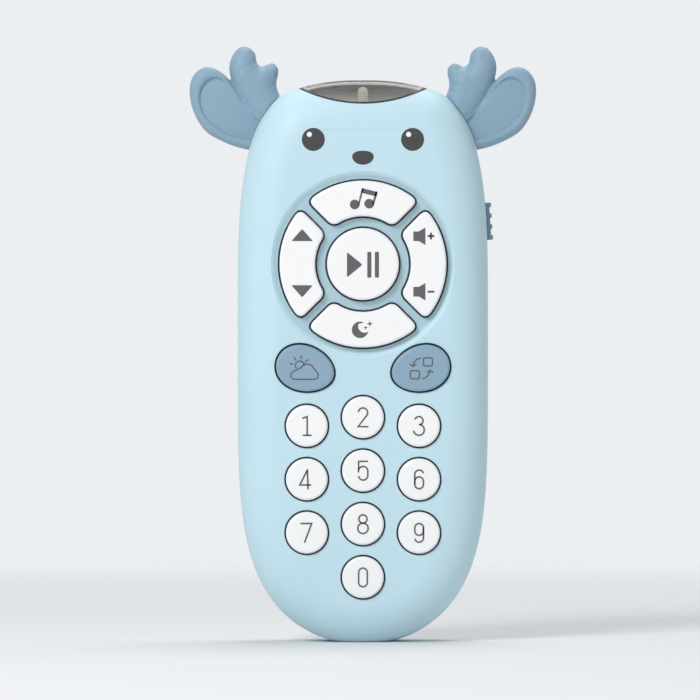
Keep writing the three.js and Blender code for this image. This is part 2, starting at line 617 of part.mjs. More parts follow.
function powerKnob() {
  const half = SLIDE.knobLength / 2;
  const w = SLIDE.knobWidth / 2;
  const { back, front, low, high } = slideFlange;
  const outer = block([back + 0.4, -w, -half], [SLIDE.proud, w, half]);
  const ribs = [];
  const ribPitch = (SLIDE.knobLength - SLIDE_RIBS.width) / (SLIDE_RIBS.count - 1);
  const halfRib = SLIDE_RIBS.width / 2;
  for (let i = 0; i < SLIDE_RIBS.count; i++) {
    const z = (i - (SLIDE_RIBS.count - 1) / 2) * ribPitch;
    ribs.push(block([SLIDE.proud - 0.2, -w, z - halfRib], [SLIDE.proud + SLIDE_RIBS.height, w, z + halfRib]));
  }
  const flange = block([back, -slideFlange.half, low], [front, slideFlange.half, high]);
  const prongs = [1.3, -2.5].map((z) => block([back - 3.3, -1.4, z], [back + 0.4, 1.4, z + 1.2]));
  return slideFrame(join(outer, ...ribs, flange, ...prongs));
}

// The electric switch: its box behind the board's edge, and the lever that the knob's fork carries.
const SWITCH = { fromSkin: 8.15, width: 9.4, height: 9, depth: 4.6, leverReach: 3.4, leverHalf: 0.8 };
const SWITCH_FACE_X = SLIDE_X - SWITCH.fromSkin;

function switchBox() {
  const z = SWITCH.height / 2;
  const y0 = BOARD_BACK_Y + GAP;
  const boxSolid = block(
    [SWITCH_FACE_X - SWITCH.width, y0, SLIDE.z - z], [SWITCH_FACE_X, y0 + SWITCH.depth, SLIDE.z + z],
  );
  const slot = block(
    [SWITCH_FACE_X - 1.6, -1.4, SLIDE.z - SWITCH.leverHalf - SLIDE.travel - GAP],
    [SWITCH_FACE_X + 1, 0.4, SLIDE.z + SWITCH.leverHalf + GAP],
  );
  return cut(boxSolid, slot);
}

function switchLever() {
  return block(
    [SWITCH_FACE_X - 1.3, -1.1, SLIDE.z - SWITCH.leverHalf],
    [SWITCH_FACE_X + SWITCH.leverReach, 0.1, SLIDE.z + SWITCH.leverHalf],
  );
}

// ---------------------------------------------------------------- keypad and board

function boardShape(inset) {
  const w = BOARD_HALF_WIDTH - inset;
  const t = BOARD_TONGUE.halfWidth - inset;
  const r = BOARD.corner;
  const top = BOARD.top - inset;
  const low = BOARD.bottom + inset;
  const shape = new THREE.Shape();
  shape.moveTo(-w + r, low);
  shape.lineTo(w - r, low);
  shape.absarc(w - r, low + r, r, -Math.PI / 2, 0, false);
  shape.lineTo(w, top - 6);
  shape.lineTo(w - 6, top);
  if (inset === 0) {
    shape.lineTo(t, top);
    shape.lineTo(t, LED_BASE_Z - BOARD_TONGUE.underLamp);
    shape.lineTo(-t, LED_BASE_Z - BOARD_TONGUE.underLamp);
    shape.lineTo(-t, top);
  }
  shape.lineTo(-w + 6, top);
  shape.lineTo(-w, top - 6);
  shape.lineTo(-w, low + r);
  shape.absarc(-w + r, low + r, r, Math.PI, Math.PI * 1.5, false);
  return shape;
}

function membrane() {
  const sheet = plateY(boardShape(0.8), MEMBRANE_FRONT_Y, MEMBRANE_FRONT_Y + MEMBRANE_THICKNESS, 4);
  const domes = STEMS.map(([x, z]) => turnedY([
    [0, DOME_TOP_Y], [DOME.topRadius, DOME_TOP_Y],
    [DOME.baseRadius, MEMBRANE_FRONT_Y + 0.2], [0, MEMBRANE_FRONT_Y + 0.2],
  ], 8).translate([x, 0, z]));
  const bossWay = BOARD_BOSS_RADIUS + GAP;
  const bossHoles = BOARD_SCREWS.map(([x, z]) => rodY(x, z, bossWay, DOME_TOP_Y, BOARD_FRONT_Y, 12));
  return cut(join(sheet, ...domes), ...bossHoles);
}

function mainBoard() {
  const board = plateY(boardShape(0), BOARD_FRONT_Y, BOARD_BACK_Y, 4);
  const screwWay = BOARD_SCREW.shank + GAP;
  return cut(board, ...BOARD_SCREWS.map(([x, z]) => rodY(x, z, screwWay, BOARD_FRONT_Y - 1, BOARD_BACK_Y + 1, 8)));
}

// ---------------------------------------------------------------- speaker, each piece about its axis

const SPEAKER_RIM_Y = BACK_INNER_Y - GAP;

function speakerBasket() {
  const back = SPEAKER_RIM_Y - SPEAKER.depth;
  const r = SPEAKER.radius;
  const throat = SPEAKER.magnetRadius - 0.8;
  return turnedY([
    [throat - 4, back], [throat, back], [r - 2.2, SPEAKER_RIM_Y - SPEAKER.rim], [r, SPEAKER_RIM_Y - SPEAKER.rim],
    [r, SPEAKER_RIM_Y], [r - 1.4, SPEAKER_RIM_Y], [throat - 0.4, back + 1], [throat - 4, back + 1],
    [throat - 4, back],
  ], 24);
}

function speakerCone() {
  const rim = SPEAKER_RIM_Y;
  const back = rim - SPEAKER.depth;
  const r = SPEAKER.radius - 2.2;
  return turnedY([
    [0, back + 2.2], [4.6, back + 1.4], [r - 1.8, rim - 1.3], [r - 0.6, rim - 0.5], [r - 1.4, rim - 0.25],
    [r - 2.2, rim - 0.4], [4.8, back + 2.4], [3.4, back + 3.6], [0, back + 4],
  ], 24);
}

function speakerMagnet() {
  const back = SPEAKER_RIM_Y - SPEAKER.depth - GAP;
  const front = back - SPEAKER.magnetDepth;
  const r = SPEAKER.magnetRadius;
  return turnedY([[0, front], [r - 0.5, front], [r, front + 0.5], [r, back], [0, back]], 20);
}

// ---------------------------------------------------------------- cells and contacts

const cellY = BAY.floorY + GAP + CELL.radius;
const CELL_RUNS = [-1, 0, 1].map((column) => ({ x: column * CELL.pitch, up: column !== 0 }));

// An AAA cell along +Z from its flat end at z = 0.
function cell() {
  const r = CELL.radius;
  const { length, nubRadius, nubLength } = CELL;
  const profile = [
    [0, 0], [r - 0.6, 0], [r, 0.6], [r, length - 0.6], [r - 0.6, length], [nubRadius, length],
    [nubRadius, length + nubLength], [0, length + nubLength],
  ];
  return turnedY(profile, 16).rotate([90, 0, 0]);
}

// A coil that narrows towards the cell, from its wide turn at z = 0.
function contactSpring() {
  const { springHeight, springRadius, springTopRadius } = CONTACT;
  const { turns, radius: w } = SPRING_WIRE;
  class Coil extends THREE.Curve {
    getPoint(t, target = new THREE.Vector3()) {
      const a = t * turns * Math.PI * 2;
      const r = springRadius + (springTopRadius - springRadius) * t;
      return target.set(r * Math.cos(a), r * Math.sin(a), w + t * (springHeight - 2 * w));
    }
  }
  return solid(tubeAlong(new Coil(), w, turns * 9, 2));
}

function contactPlate() {
  const half = CONTACT.plateHalf;
  return block([-half, -half, 0], [half, half, CONTACT.plate]);
}

// ---------------------------------------------------------------- leads, held inside along their whole run

const LEAD_RADIUS = 0.55;
const speakerTagZ = SPEAKER.z - SPEAKER.radius + 2.2;
const LEADS = [
  { name: "speaker_lead_red", side: -1, from: [5.5, 6.5, speakerTagZ - 1.5], pcbZ: 84 },
  { name: "speaker_lead_black", side: 1, from: [5.5, 6.5, speakerTagZ - 1.5], pcbZ: 84 },
  { name: "battery_lead_red", side: -1, from: [12.5, 3.2, bayTop + BAY.wall + GAP + LEAD_RADIUS], pcbZ: 79 },
  { name: "battery_lead_black", side: 1, from: [12.5, 3.2, bayTop + BAY.wall + GAP + LEAD_RADIUS], pcbZ: 79 },
];

function lead({ side, from: [x, y, z], pcbZ }) {
  const end = BOARD_BACK_Y + GAP;
  const midZ = (z + pcbZ) / 2;
  return wire([
    [side * x, y, z], [side * (x + 0.8), y - 1.6, z + (midZ - z) * 0.3],
    [side * (x + 1.5), (y + end) / 2, midZ],
    [side * (x + 1), end + 2, pcbZ], [side * (x + 1), end, pcbZ],
  ], LEAD_RADIUS, 9);
}

// ---------------------------------------------------------------- materials

const plastic = (color, roughness) => new THREE.MeshStandardMaterial({ color, roughness, metalness: 0 });
const metal = (color, roughness) => new THREE.MeshStandardMaterial({ color, roughness, metalness: 1 });
const SHELL_BLUE = plastic("#bfe0ec", 0.42);
const KEY_WHITE = plastic("#f6f7f8", 0.35);
const KEY_BLUE = plastic("#8fb0c6", 0.4);
const EAR_BLUE = plastic("#8cabc0", 0.6);
const WINDOW_SMOKE = plastic("#5c5a55", 0.1);
const REFLECTOR_GREY = plastic("#b9b7b0", 0.4);
const LED_CLEAR = plastic("#e9e6da", 0.15);
const RUBBER_GREY = plastic("#d6d8d9", 0.75);
const BOARD_GREEN = plastic("#2f6b45", 0.5);
const CHIP_BLACK = plastic("#1c1c1e", 0.4);
const CONE_BLACK = plastic("#2b2a2a", 0.8);
const STEEL = metal("#b8bcc0", 0.32);
const MAGNET = metal("#7c7f84", 0.4);
const CELL_JACKET = plastic("#5f7d6d", 0.35);
const LEAD_RED = plastic("#b3372e", 0.5);
const LEAD_BLACK = plastic("#242425", 0.5);

// ---------------------------------------------------------------- assembly

// A solid as a named mesh, placed in its group.
function piece(parent, name, made, material, position = [0, 0, 0], rotation = [0, 0, 0]) {
  const { vertProperties, triVerts, numProp, numVert } = made.getMesh();
  const xyz = new Float32Array(numVert * 3);
  for (let i = 0; i < numVert; i++) xyz.set(vertProperties.subarray(i * numProp, i * numProp + 3), i * 3);
  const geometry = new THREE.BufferGeometry();
  geometry.setAttribute("position", new THREE.BufferAttribute(xyz, 3));
  geometry.setIndex(new THREE.BufferAttribute(triVerts, 1));
  geometry.computeVertexNormals();
  const mesh = new THREE.Mesh(geometry, material);
  mesh.name = name;
  mesh.position.set(...position);
  mesh.rotation.set(...rotation);
  parent.add(mesh);
  return mesh;
}

function group(parent, position = [0, 0, 0]) {
  const made = new THREE.Group();
  made.position.set(...position);
  parent.add(made);
  return made;
}

const phone = new THREE.Group();

const casing = group(phone);
piece(casing, "front_shell", frontShell(), SHELL_BLUE);
piece(casing, "rear_shell", rearShell(), SHELL_BLUE);
piece(casing, "battery_door", batteryDoor(), SHELL_BLUE);
piece(casing, "left_ear", ear(-1), EAR_BLUE);
piece(casing, "right_ear", ear(1), EAR_BLUE);
piece(casing, "window_lens", windowLens(), WINDOW_SMOKE);
const caseScrew = screw(CASE_SCREW, CASE_SCREW.seatY - CASE_SCREW.tipY);
CASE_SCREWS.forEach(([x, z], i) => {
  piece(casing, `case_screw_${i + 1}`, caseScrew, STEEL, [x, CASE_SCREW.seatY + GAP, z]);
});
piece(casing, "door_screw", screw(DOOR_SCREW, DOOR_SCREW.length), STEEL, [0, doorScrewSeatY, doorScrewZ]);

const keyRing = group(phone, [0, 0, RING.z]);
piece(keyRing, "play_key", roundKey(PLAY_RADIUS, PLAY_SIDES), KEY_WHITE);
for (const { name, turn, rocks } of RING_KEYS) {
  piece(keyRing, name, key((grow) => ringKeyShape(turn, grow), ringStems(turn, rocks)), KEY_WHITE);
}
const keypad = group(phone);
for (const { name, side } of FUNCTION_KEYS) {
  const made = key((grow) => functionKeyShape(side, grow), [[0, 0]]);
  piece(keypad, name, made, KEY_BLUE, [side * FUNCTION_KEY.x, 0, FUNCTION_KEY.z]);
}
const digitKey = roundKey(DIGIT.radius, DIGIT_SIDES, 1);
for (const { digit, x, z } of DIGITS) piece(keypad, `digit_key_${digit}`, digitKey, KEY_WHITE, [x, 0, z]);

const electronics = group(phone);
piece(electronics, "key_membrane", membrane(), RUBBER_GREY);
piece(electronics, "main_board", mainBoard(), BOARD_GREEN);
const boardScrew = screw(BOARD_SCREW, BOARD_SCREW.length);
BOARD_SCREWS.forEach(([x, z], i) => {
  piece(electronics, `board_screw_${i + 1}`, boardScrew, STEEL, [x, BOARD_BACK_Y + GAP, z]);
});
const onBoard = (x, z) => [x, BOARD_BACK_Y + GAP, z];
const chipSolid = turnedY([[0, 0], [5.5, 0], [5, 0.9], [3.4, 1.5], [0, 1.7]], 16);
piece(electronics, "sound_chip", chipSolid, CHIP_BLACK, onBoard(0, 48));
const capacitorSolid = turnedY([[0, 0], [2, 0], [2, 3.6], [1.7, 4], [0, 4]], 12);
piece(electronics, "capacitor", capacitorSolid, CHIP_BLACK, onBoard(-12, 92));
piece(electronics, "led", led(), LED_CLEAR, [0, LED.y, LED_BASE_Z], [Math.PI / 2, 0, 0]);
piece(electronics, "led_reflector", reflector(), REFLECTOR_GREY);
piece(electronics, "switch_box", switchBox(), CHIP_BLACK);
piece(electronics, "switch_lever", switchLever(), CHIP_BLACK);
piece(electronics, "power_knob", powerKnob(), KEY_BLUE);
for (const run of LEADS) {
  piece(electronics, run.name, lead(run), run.name.endsWith("red") ? LEAD_RED : LEAD_BLACK);
}

const speaker = group(phone, [0, 0, SPEAKER.z]);
piece(speaker, "speaker_basket", speakerBasket(), STEEL);
piece(speaker, "speaker_cone", speakerCone(), CONE_BLACK);
piece(speaker, "speaker_magnet", speakerMagnet(), MAGNET);

const power = group(phone);
const cellSolid = cell();
const springSolid = contactSpring();
const plateSolid = contactPlate();
CELL_RUNS.forEach(({ x, up }, i) => {
  const flip = up ? [0, 0, 0] : [Math.PI, 0, 0];
  const away = (distance) => (up ? BAY.bottom + distance : bayTop - distance);
  const springEnd = GAP + CONTACT.springHeight;
  const plateStart = 3 * GAP + CONTACT.springHeight + CELL.length + CELL.nubLength;
  piece(power, `battery_${i + 1}`, cellSolid, CELL_JACKET, [x, cellY, away(springEnd + GAP)], flip);
  piece(power, `contact_spring_${i + 1}`, springSolid, STEEL, [x, cellY, away(GAP)], flip);
  piece(power, `contact_plate_${i + 1}`, plateSolid, STEEL, [x, cellY, away(plateStart)], flip);
});

export default phone;
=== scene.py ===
"""A toy cell phone with a deer's face, soft ears, round keys and a crown window, built round its frame."""
from math import asin, atan2, cos, degrees, hypot, pi, radians, sin, sqrt

import bmesh
import bpy
from bpy.props import FloatProperty, FloatVectorProperty, PointerProperty
from mathutils import Matrix, Vector


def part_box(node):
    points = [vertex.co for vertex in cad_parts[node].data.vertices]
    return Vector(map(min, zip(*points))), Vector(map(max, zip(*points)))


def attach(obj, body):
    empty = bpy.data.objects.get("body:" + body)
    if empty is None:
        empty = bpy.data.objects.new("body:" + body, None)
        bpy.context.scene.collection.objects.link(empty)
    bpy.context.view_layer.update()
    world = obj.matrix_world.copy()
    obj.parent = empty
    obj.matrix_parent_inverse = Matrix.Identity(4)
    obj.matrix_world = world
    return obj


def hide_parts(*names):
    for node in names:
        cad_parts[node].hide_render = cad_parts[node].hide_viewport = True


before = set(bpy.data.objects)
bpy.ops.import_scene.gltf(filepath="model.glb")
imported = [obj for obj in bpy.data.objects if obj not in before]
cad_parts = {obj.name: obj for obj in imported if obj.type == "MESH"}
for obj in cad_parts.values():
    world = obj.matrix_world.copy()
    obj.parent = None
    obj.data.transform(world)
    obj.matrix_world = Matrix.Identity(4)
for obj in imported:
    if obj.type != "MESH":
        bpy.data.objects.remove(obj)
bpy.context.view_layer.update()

bl_info = {
    "name": "Toy Phone With a Deer Face",
    "version": (1, 0, 0),
    "blender": (4, 5, 0),
    "location": "View3D > Sidebar > Toy Phone",
    "description": "Builds a toy cell phone with soft ears, round keys and a lit crown window",
    "category": "Object",
}

MM = 0.001
TINY = 1e-7

# ---------------------------------------------------------------- places taken from the frame


def middle(node):
    low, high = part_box(node)
    return (low + high) / 2


def low(node):
    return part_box(node)[0]


def high(node):
    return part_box(node)[1]


FACE_Y = low("front_shell").y
BACK_Y = high("rear_shell").y
KEY_TOP_Y = low("play_key").y
SEAM_Y = high("front_shell").y
HALF_WIDTH = high("rear_shell").x
TOP_Z = high("window_lens").z
RING_Z = middle("play_key").z
DISH_FLOOR_Y = FACE_Y + 1.2 * MM
DIGIT_KEYS = [f"digit_key_{digit}" for digit in range(10)]
CASE_SCREWS = [f"case_screw_{i}" for i in range(1, 5)]
BOARD_SCREWS = [f"board_screw_{i}" for i in range(1, 6)]
CELLS = ["1", "2", "3"]
SECTORS = {"music_key": 90, "track_key": 180, "night_key": 270, "volume_key": 0}
EGGS = {"weather_key": -1, "swap_key": 1}
ALL_KEYS = ["play_key", *SECTORS, *EGGS, *DIGIT_KEYS]
DOOR_SCREW_HEAD = 1 * MM
LAMP_FLANGE = 1.9 * MM
LAMP_Y = low("led").y + LAMP_FLANGE
LENS_WALL = 0.9 * MM

# ---------------------------------------------------------------- sizes that a user would change


def paint(code):
    """A linear colour from its sRGB hex code."""
    parts = [int(code[i:i + 2], 16) / 255 for i in (1, 3, 5)]
    return tuple(p / 12.92 if p <= 0.04045 else ((p + 0.055) / 1.055) ** 2.4 for p in parts)


def length(name, description, millimetres):
    return FloatProperty(name=name, description=description, default=millimetres * MM,
                         subtype="DISTANCE", unit="LENGTH", precision=5)


def colour(name, description, code):
    return FloatVectorProperty(name=name, description=description, default=paint(code),
                               subtype="COLOR", min=0, max=1)


class PhoneSizes(bpy.types.PropertyGroup):
    """Sizes of the casing, the keys and the small round edges."""
    front_edge_width: length("Front edge width", "How far in the front edge starts to roll over", 12)
    front_edge_depth: length("Front edge depth", "How deep the front edge rolls over", 10.6)
    rear_edge_width: length("Rear edge width", "How far in the rear edge starts to roll over", 11)
    rear_edge_depth: length("Rear edge depth", "How deep the rear edge rolls over", 10.5)
    wall: length("Wall", "Thickness of the two shells", 2.2)
    key_clearance: length("Key clearance", "Dark gap between a key and its window", 0.45)
    key_round: length("Key edge round", "Round along a key's front edge", 0.75)
    window_round: length("Key window round", "Round along the rim of a key's window", 0.3)
    dish_radius: length("Dish radius", "Outer radius of the shallow dish round the ring of keys", 26.2)
    print_height: length("Print height", "How far the printed ink stands off its key", 0.04)


class PhoneFinishes(bpy.types.PropertyGroup):
    """Colours of the phone's finishes."""
    shell: colour("Shell", "Baby-blue moulded casing", "#c3e1eb")
    white_key: colour("White keys", "White moulded keys", "#f7f7f7")
    blue_key: colour("Blue keys", "Dusty-blue function keys and slide", "#8ba9bc")
    ear: colour("Ears", "Soft dusty-blue silicone", "#88a6b9")
    ink: colour("Ink", "Dark grey print on the keys", "#5c5c5e")
    face_ink: colour("Face ink", "Print of the eyes and nose", "#3f3f40")
    window: colour("Window", "Smoked crown window", "#e0dfdb")
    keypad: colour("Keypad", "Silicone keypad behind the keys", "#d9dbdc")
    board: colour("Board", "Solder mask of the main board", "#2e6a44")
    jacket: colour("Cell jacket", "Printed jacket of the cells", "#5c7f6e")


# ---------------------------------------------------------------- outlines, as (x, z) points


def arc(cx, cz, radius, start, end, steps):
    """Points round part of a circle, with the angles in degrees from +X towards +Z."""
    angles = [radians(start + (end - start) * i / steps) for i in range(steps + 1)]
    return [(cx + radius * cos(a), cz + radius * sin(a)) for a in angles]


def evenly(points, spacing):
    """The same closed outline with its points evenly spaced."""
    loop = points + points[:1]
    lengths = [hypot(b[0] - a[0], b[1] - a[1]) for a, b in zip(loop, loop[1:])]
    count = round(sum(lengths) / spacing)
    step, result, walked, i = sum(lengths) / count, [], 0.0, 0
    for k in range(count):
        while walked + lengths[i] < k * step:
            walked += lengths[i]
            i += 1
        t = (k * step - walked) / lengths[i]
        result.append(tuple(p + (q - p) * t for p, q in zip(loop[i], loop[i + 1])))
    return result


def soft_lower(a, b, ease):
    """The lower of two values, eased where they cross."""
    return (a + b - sqrt((a - b) ** 2 + ease ** 2)) / 2


def crown_arc(x, radius=66 * MM):
    """The height of the crown's flatter arc over its middle stretch."""
    return TOP_Z + 0.15 * MM - radius + sqrt(radius * radius - x * x)


def body_outline(spacing=1.6 * MM):
    """A superellipse above the widest line and a fuller chin below it, from the middle of the chin round."""
    widest, drop, crown_power, chin_power = 88.5 * MM, 89.3 * MM, 3.6, 5
    rise = TOP_Z - widest
    steps = 200
    right = []
    for i in range(steps, 0, -1):
        a = pi / 2 * (i / steps) ** 1.6
        right.append((HALF_WIDTH * cos(a), widest - drop * sin(a) ** (2 / chin_power)))
    for i in range(steps + 1):
        a = pi / 2 * i / steps
        x = 0 if i == steps else HALF_WIDTH * cos(a) ** (2 / crown_power)
        crown = widest + rise * sin(a) ** (2 / crown_power)
        right.append((x, soft_lower(crown, crown_arc(x), 0.4 * MM)))
    left = [(-x, z) for x, z in reversed(right[1:-1])]
    return evenly(right + left, spacing)


def circle_outline(radius, centre=(0, 0), steps=48):
    """A circle, without the last point that would repeat the first."""
    return arc(*centre, radius, 0, 360, steps)[:-1]


def bend(start, via, end, steps=6):
    """A smooth corner between two points, drawn towards a third."""
    curve = []
    for i in range(1, steps):
        t = i / steps
        near, through, far = (1 - t) ** 2, 2 * t * (1 - t), t * t
        curve.append(tuple(near * s + through * v + far * e for s, v, e in zip(start, via, end)))
    return curve


def polar(radius, angle):
    return radius * cos(angle), radius * sin(angle)


def sector_outline(turn, grow=0.0, centre=(0, 0)):
    """A quarter of the key ring, centred on the direction turn, in degrees, and grown all round."""
    inner, outer = 13.3 * MM - grow, 23.2 * MM + grow
    half_gap, corner, quarter = 1.5 * MM - grow, 2.2 * MM + grow, pi / 4
    middle_angle = radians(turn)

    def on_cut(side, along):
        a = middle_angle + side * quarter
        x, z = polar(along, a)
        dx, dz = polar(half_gap, a - side * pi / 2)
        return x + dx, z + dz

    def reach(r):
        return sqrt(r * r - half_gap * half_gap)

    def edge_angle(r):
        return degrees(quarter - asin(half_gap / r) - corner / r)

    steps_out, steps_in = 30, 14
    outer_arc = arc(0, 0, outer, turn - edge_angle(outer), turn + edge_angle(outer), steps_out)
    inner_arc = arc(0, 0, inner, turn + edge_angle(inner), turn - edge_angle(inner), steps_in)
    outline = list(outer_arc)
    upper_head, upper_foot = on_cut(1, reach(outer) - corner), on_cut(1, reach(inner) + corner)
    lower_foot, lower_head = on_cut(-1, reach(inner) + corner), on_cut(-1, reach(outer) - corner)
    outline += bend(outer_arc[-1], on_cut(1, reach(outer)), upper_head) + [upper_head, upper_foot]
    outline += bend(upper_foot, on_cut(1, reach(inner)), inner_arc[0]) + inner_arc
    outline += bend(inner_arc[-1], on_cut(-1, reach(inner)), lower_foot) + [lower_foot, lower_head]
    outline += bend(lower_head, on_cut(-1, reach(outer)), outer_arc[0])
    return [(x + centre[0], z + centre[1]) for x, z in outline]


def egg_outline(side, grow=0.0, centre=(0, 0)):
    """An egg lying on its side, blunt end outwards, tipped so that it leans inwards."""
    half_width, half_height, lean, steps = 8.2 * MM + grow, 6.3 * MM + grow, radians(16) * side, 72
    points = []
    for i in range(steps):
        a = 2 * pi * i / steps
        x, z = side * half_width * cos(a), half_height * sin(a) * (1 + 0.1 * cos(a))
        points.append((centre[0] + x * cos(lean) - z * sin(lean), centre[1] + x * sin(lean) + z * cos(lean)))
    return points


def rounded(points, radius, steps=4):
    """A polygon with its corners rounded."""
    outline = []
    for i, point in enumerate(points):
        here, past, ahead = (Vector(p) for p in (point, points[i - 1], points[(i + 1) % len(points)]))
        start = here + (past - here).normalized() * radius
        end = here + (ahead - here).normalized() * radius
        outline += [tuple(start), *bend(start, here, end, steps), tuple(end)]
    return outline


def rectangle(x0, z0, x1, z1, radius=0.0, steps=4):
    corners = [(x0, z0), (x1, z0), (x1, z1), (x0, z1)]
    return rounded(corners, radius, steps) if radius else corners


def door_outline(grow=0.0):
    """The battery door, with a round tab at the top for its screw."""
    door_low, door_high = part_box("battery_door")
    tab_z, tab, corner = middle("door_screw").z, 5.2 * MM + grow, 3 * MM + grow
    half, bottom = door_high.x + grow, door_low.z - grow
    top = tab_z - 1 * MM + grow
    lean = degrees(asin((top - tab_z) / tab))
    outline = arc(half - corner, bottom + corner, corner, -90, 0, 8)
    outline += arc(half - corner, top - corner, corner, 0, 90, 8)
    outline += arc(0, tab_z, tab, lean, 180 - lean, 24)
    outline += arc(-half + corner, top - corner, corner, 90, 180, 8)
    return outline + arc(-half + corner, bottom + corner, corner, 180, 270, 8)


# ---------------------------------------------------------------- mesh work


def finished(bm, name):
    """A closed bmesh as a new object, with its doubles merged and its faces pointing out."""
    bmesh.ops.remove_doubles(bm, verts=bm.verts, dist=TINY)
    bmesh.ops.recalc_face_normals(bm, faces=bm.faces)
    mesh = bpy.data.meshes.new(name)
    bm.to_mesh(mesh)
    bm.free()
    piece = bpy.data.objects.new(name, mesh)
    bpy.context.scene.collection.objects.link(piece)
    return piece


def moved_in(outline, inset):
    """An outline moved inwards, or outwards where inset is negative, with its corners mitred."""
    if not inset:
        return list(outline)
    result = []
    for i, here in enumerate(outline):
        past, ahead = outline[i - 1], outline[(i + 1) % len(outline)]
        before = Vector((here[0] - past[0], here[1] - past[1])).normalized()
        after = Vector((ahead[0] - here[0], ahead[1] - here[1])).normalized()
        along = (before + after).normalized()
        reach = inset / max(0.4, along.dot(before))
        result.append((here[0] - along.y * reach, here[1] + along.x * reach))
    return result


def front_roll(y, width, depth, steps, inset=0.0):
    """Steps (inset, y) that roll an edge over on to a front at y, as a quarter ellipse."""
    angles = [pi / 2 * i / steps for i in range(steps + 1)]
    return [(inset + width * (1 - cos(a)), y + depth * (1 - sin(a))) for a in angles]


def rear_roll(y, width, depth, steps, inset=0.0):
    """The same for a rear at y, listed from the rear forwards."""
    return [(i, 2 * y - at) for i, at in reversed(front_roll(y, width, depth, steps, inset))]


def area_of(outline):
    pairs = zip(outline, outline[1:] + outline[:1])
    return sum(a[0] * b[1] - b[0] * a[1] for a, b in pairs) / 2


def add_loft(bm, outline, path):
    """Adds a closed solid: the outline moved in by each inset at each depth of a path from rear to front."""
    if area_of(outline) < 0:
        outline = outline[::-1]
    rings = [[(x, y, z) for x, z in moved_in(outline, inset)] for inset, y in path]
    cap = bm.faces.new([bm.verts.new(place) for place in rings[0]])
    for ring in rings[1:]:
        grown = bmesh.ops.extrude_face_region(bm, geom=[cap, *cap.edges])["geom"]
        cap = next(item for item in grown if isinstance(item, bmesh.types.BMFace))
        for vert, place in zip(cap.verts, ring):
            vert.co = place


def loft(name, outline, path):
    bm = bmesh.new()
    add_loft(bm, outline, path)
    return finished(bm, name)


def plate(name, outline, y_front, y_back, edge=0.0, steps=3):
    """A flat plate between two depths, its edges rounded front and back."""
    if not edge:
        return loft(name, outline, [(0, y_back), (0, y_front)])
    return loft(name, outline, rear_roll(y_back, edge, edge, steps) + front_roll(y_front, edge, edge, steps))


def turned(name, profile, centre, axis="Y", segments=48):
    """A profile of (radius, along) points turned about an axis through a place."""
    bm = bmesh.new()
    verts = [bm.verts.new((r, along, 0)) for r, along in profile]
    edges = [bm.edges.new(pair) for pair in zip(verts, verts[1:])]
    bmesh.ops.spin(bm, geom=verts + edges, cent=(0, 0, 0), axis=(0, 1, 0), angle=2 * pi,
                   steps=segments, use_merge=True)
    turn = Matrix.Rotation(radians(90), 4, "X") if axis == "Z" else Matrix.Identity(4)
    bmesh.ops.transform(bm, matrix=Matrix.Translation(centre) @ turn, verts=bm.verts)
    return finished(bm, name)


def brick(name, lowest, highest, edge=0.0, segments=3):
    """A block between two corners, its edges rounded."""
    lowest, highest = Vector(lowest), Vector(highest)
    bm = bmesh.new()
    bmesh.ops.create_cube(bm, size=1)
    bmesh.ops.scale(bm, vec=highest - lowest, verts=bm.verts)
    bmesh.ops.translate(bm, vec=(lowest + highest) / 2, verts=bm.verts)
    if edge:
        bmesh.ops.bevel(bm, geom=bm.edges[:], offset=edge, offset_type="OFFSET", segments=segments,
                        profile=0.5, affect="EDGES", material=-1, clamp_overlap=True)
    return finished(bm, name)


def moved(piece, matrix):
    """Moves a piece's mesh, so that its object stays at the origin."""
    piece.data.transform(matrix)
    return piece


def one_mesh(name, pieces):
    """Several closed solids as one mesh."""
    bm = bmesh.new()
    for piece in pieces:
        bm.from_mesh(piece.data)
        discard(piece)
    return finished(bm, name)


def discard(piece):
    mesh = piece.data
    bpy.data.objects.remove(piece)
    bpy.data.meshes.remove(mesh)


def bake_modifiers(piece):
    """Applies a piece's modifiers to its mesh."""
    graph = bpy.context.evaluated_depsgraph_get()
    old = piece.data
    piece.data = bpy.data.meshes.new_from_object(piece.evaluated_get(graph), depsgraph=graph)
    piece.modifiers.clear()
    bpy.data.meshes.remove(old)
    piece.data.name = piece.name
    return piece


def shaped(piece, how, *others):
    """Cuts, joins or keeps what a piece shares with others, one after another, and discards those."""
    for other in others:
        step = piece.modifiers.new(how.title(), "BOOLEAN")
        step.operation = how
        step.object = other
        step.solver = "EXACT"
    bake_modifiers(piece)
    for other in others:
        discard(other)
    if not piece.data.polygons:
        raise RuntimeError(f"nothing was left of {piece.name} after {how}")
    return piece


def cut(piece, *others):
    return shaped(piece, "DIFFERENCE", *others)


def joined(piece, *others):
    return shaped(piece, "UNION", *others)


def shared(piece, *others):
    return shaped(piece, "INTERSECT", *others)


def smooth(piece, sharper_than=32):
    """Shades a piece smooth, but for its sharp edges, with the flat faces leading."""
    mesh = piece.data
    mesh.polygons.foreach_set("use_smooth", [True] * len(mesh.polygons))
    mesh.set_sharp_from_angle(angle=radians(sharper_than))
    step = piece.modifiers.new("Weighted normals", "WEIGHTED_NORMAL")
    step.keep_sharp = True
    step.weight = 60
    return piece


def stand_for(piece, body, slot, material, *nodes):
    """Gives a piece its finish and its body, and hides the frame nodes that it stands for. The slot is not
    used.
    """
    piece.data.materials.clear()
    piece.data.materials.append(material)
    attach(piece, body)
    if nodes:
        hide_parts(*nodes)
    return piece


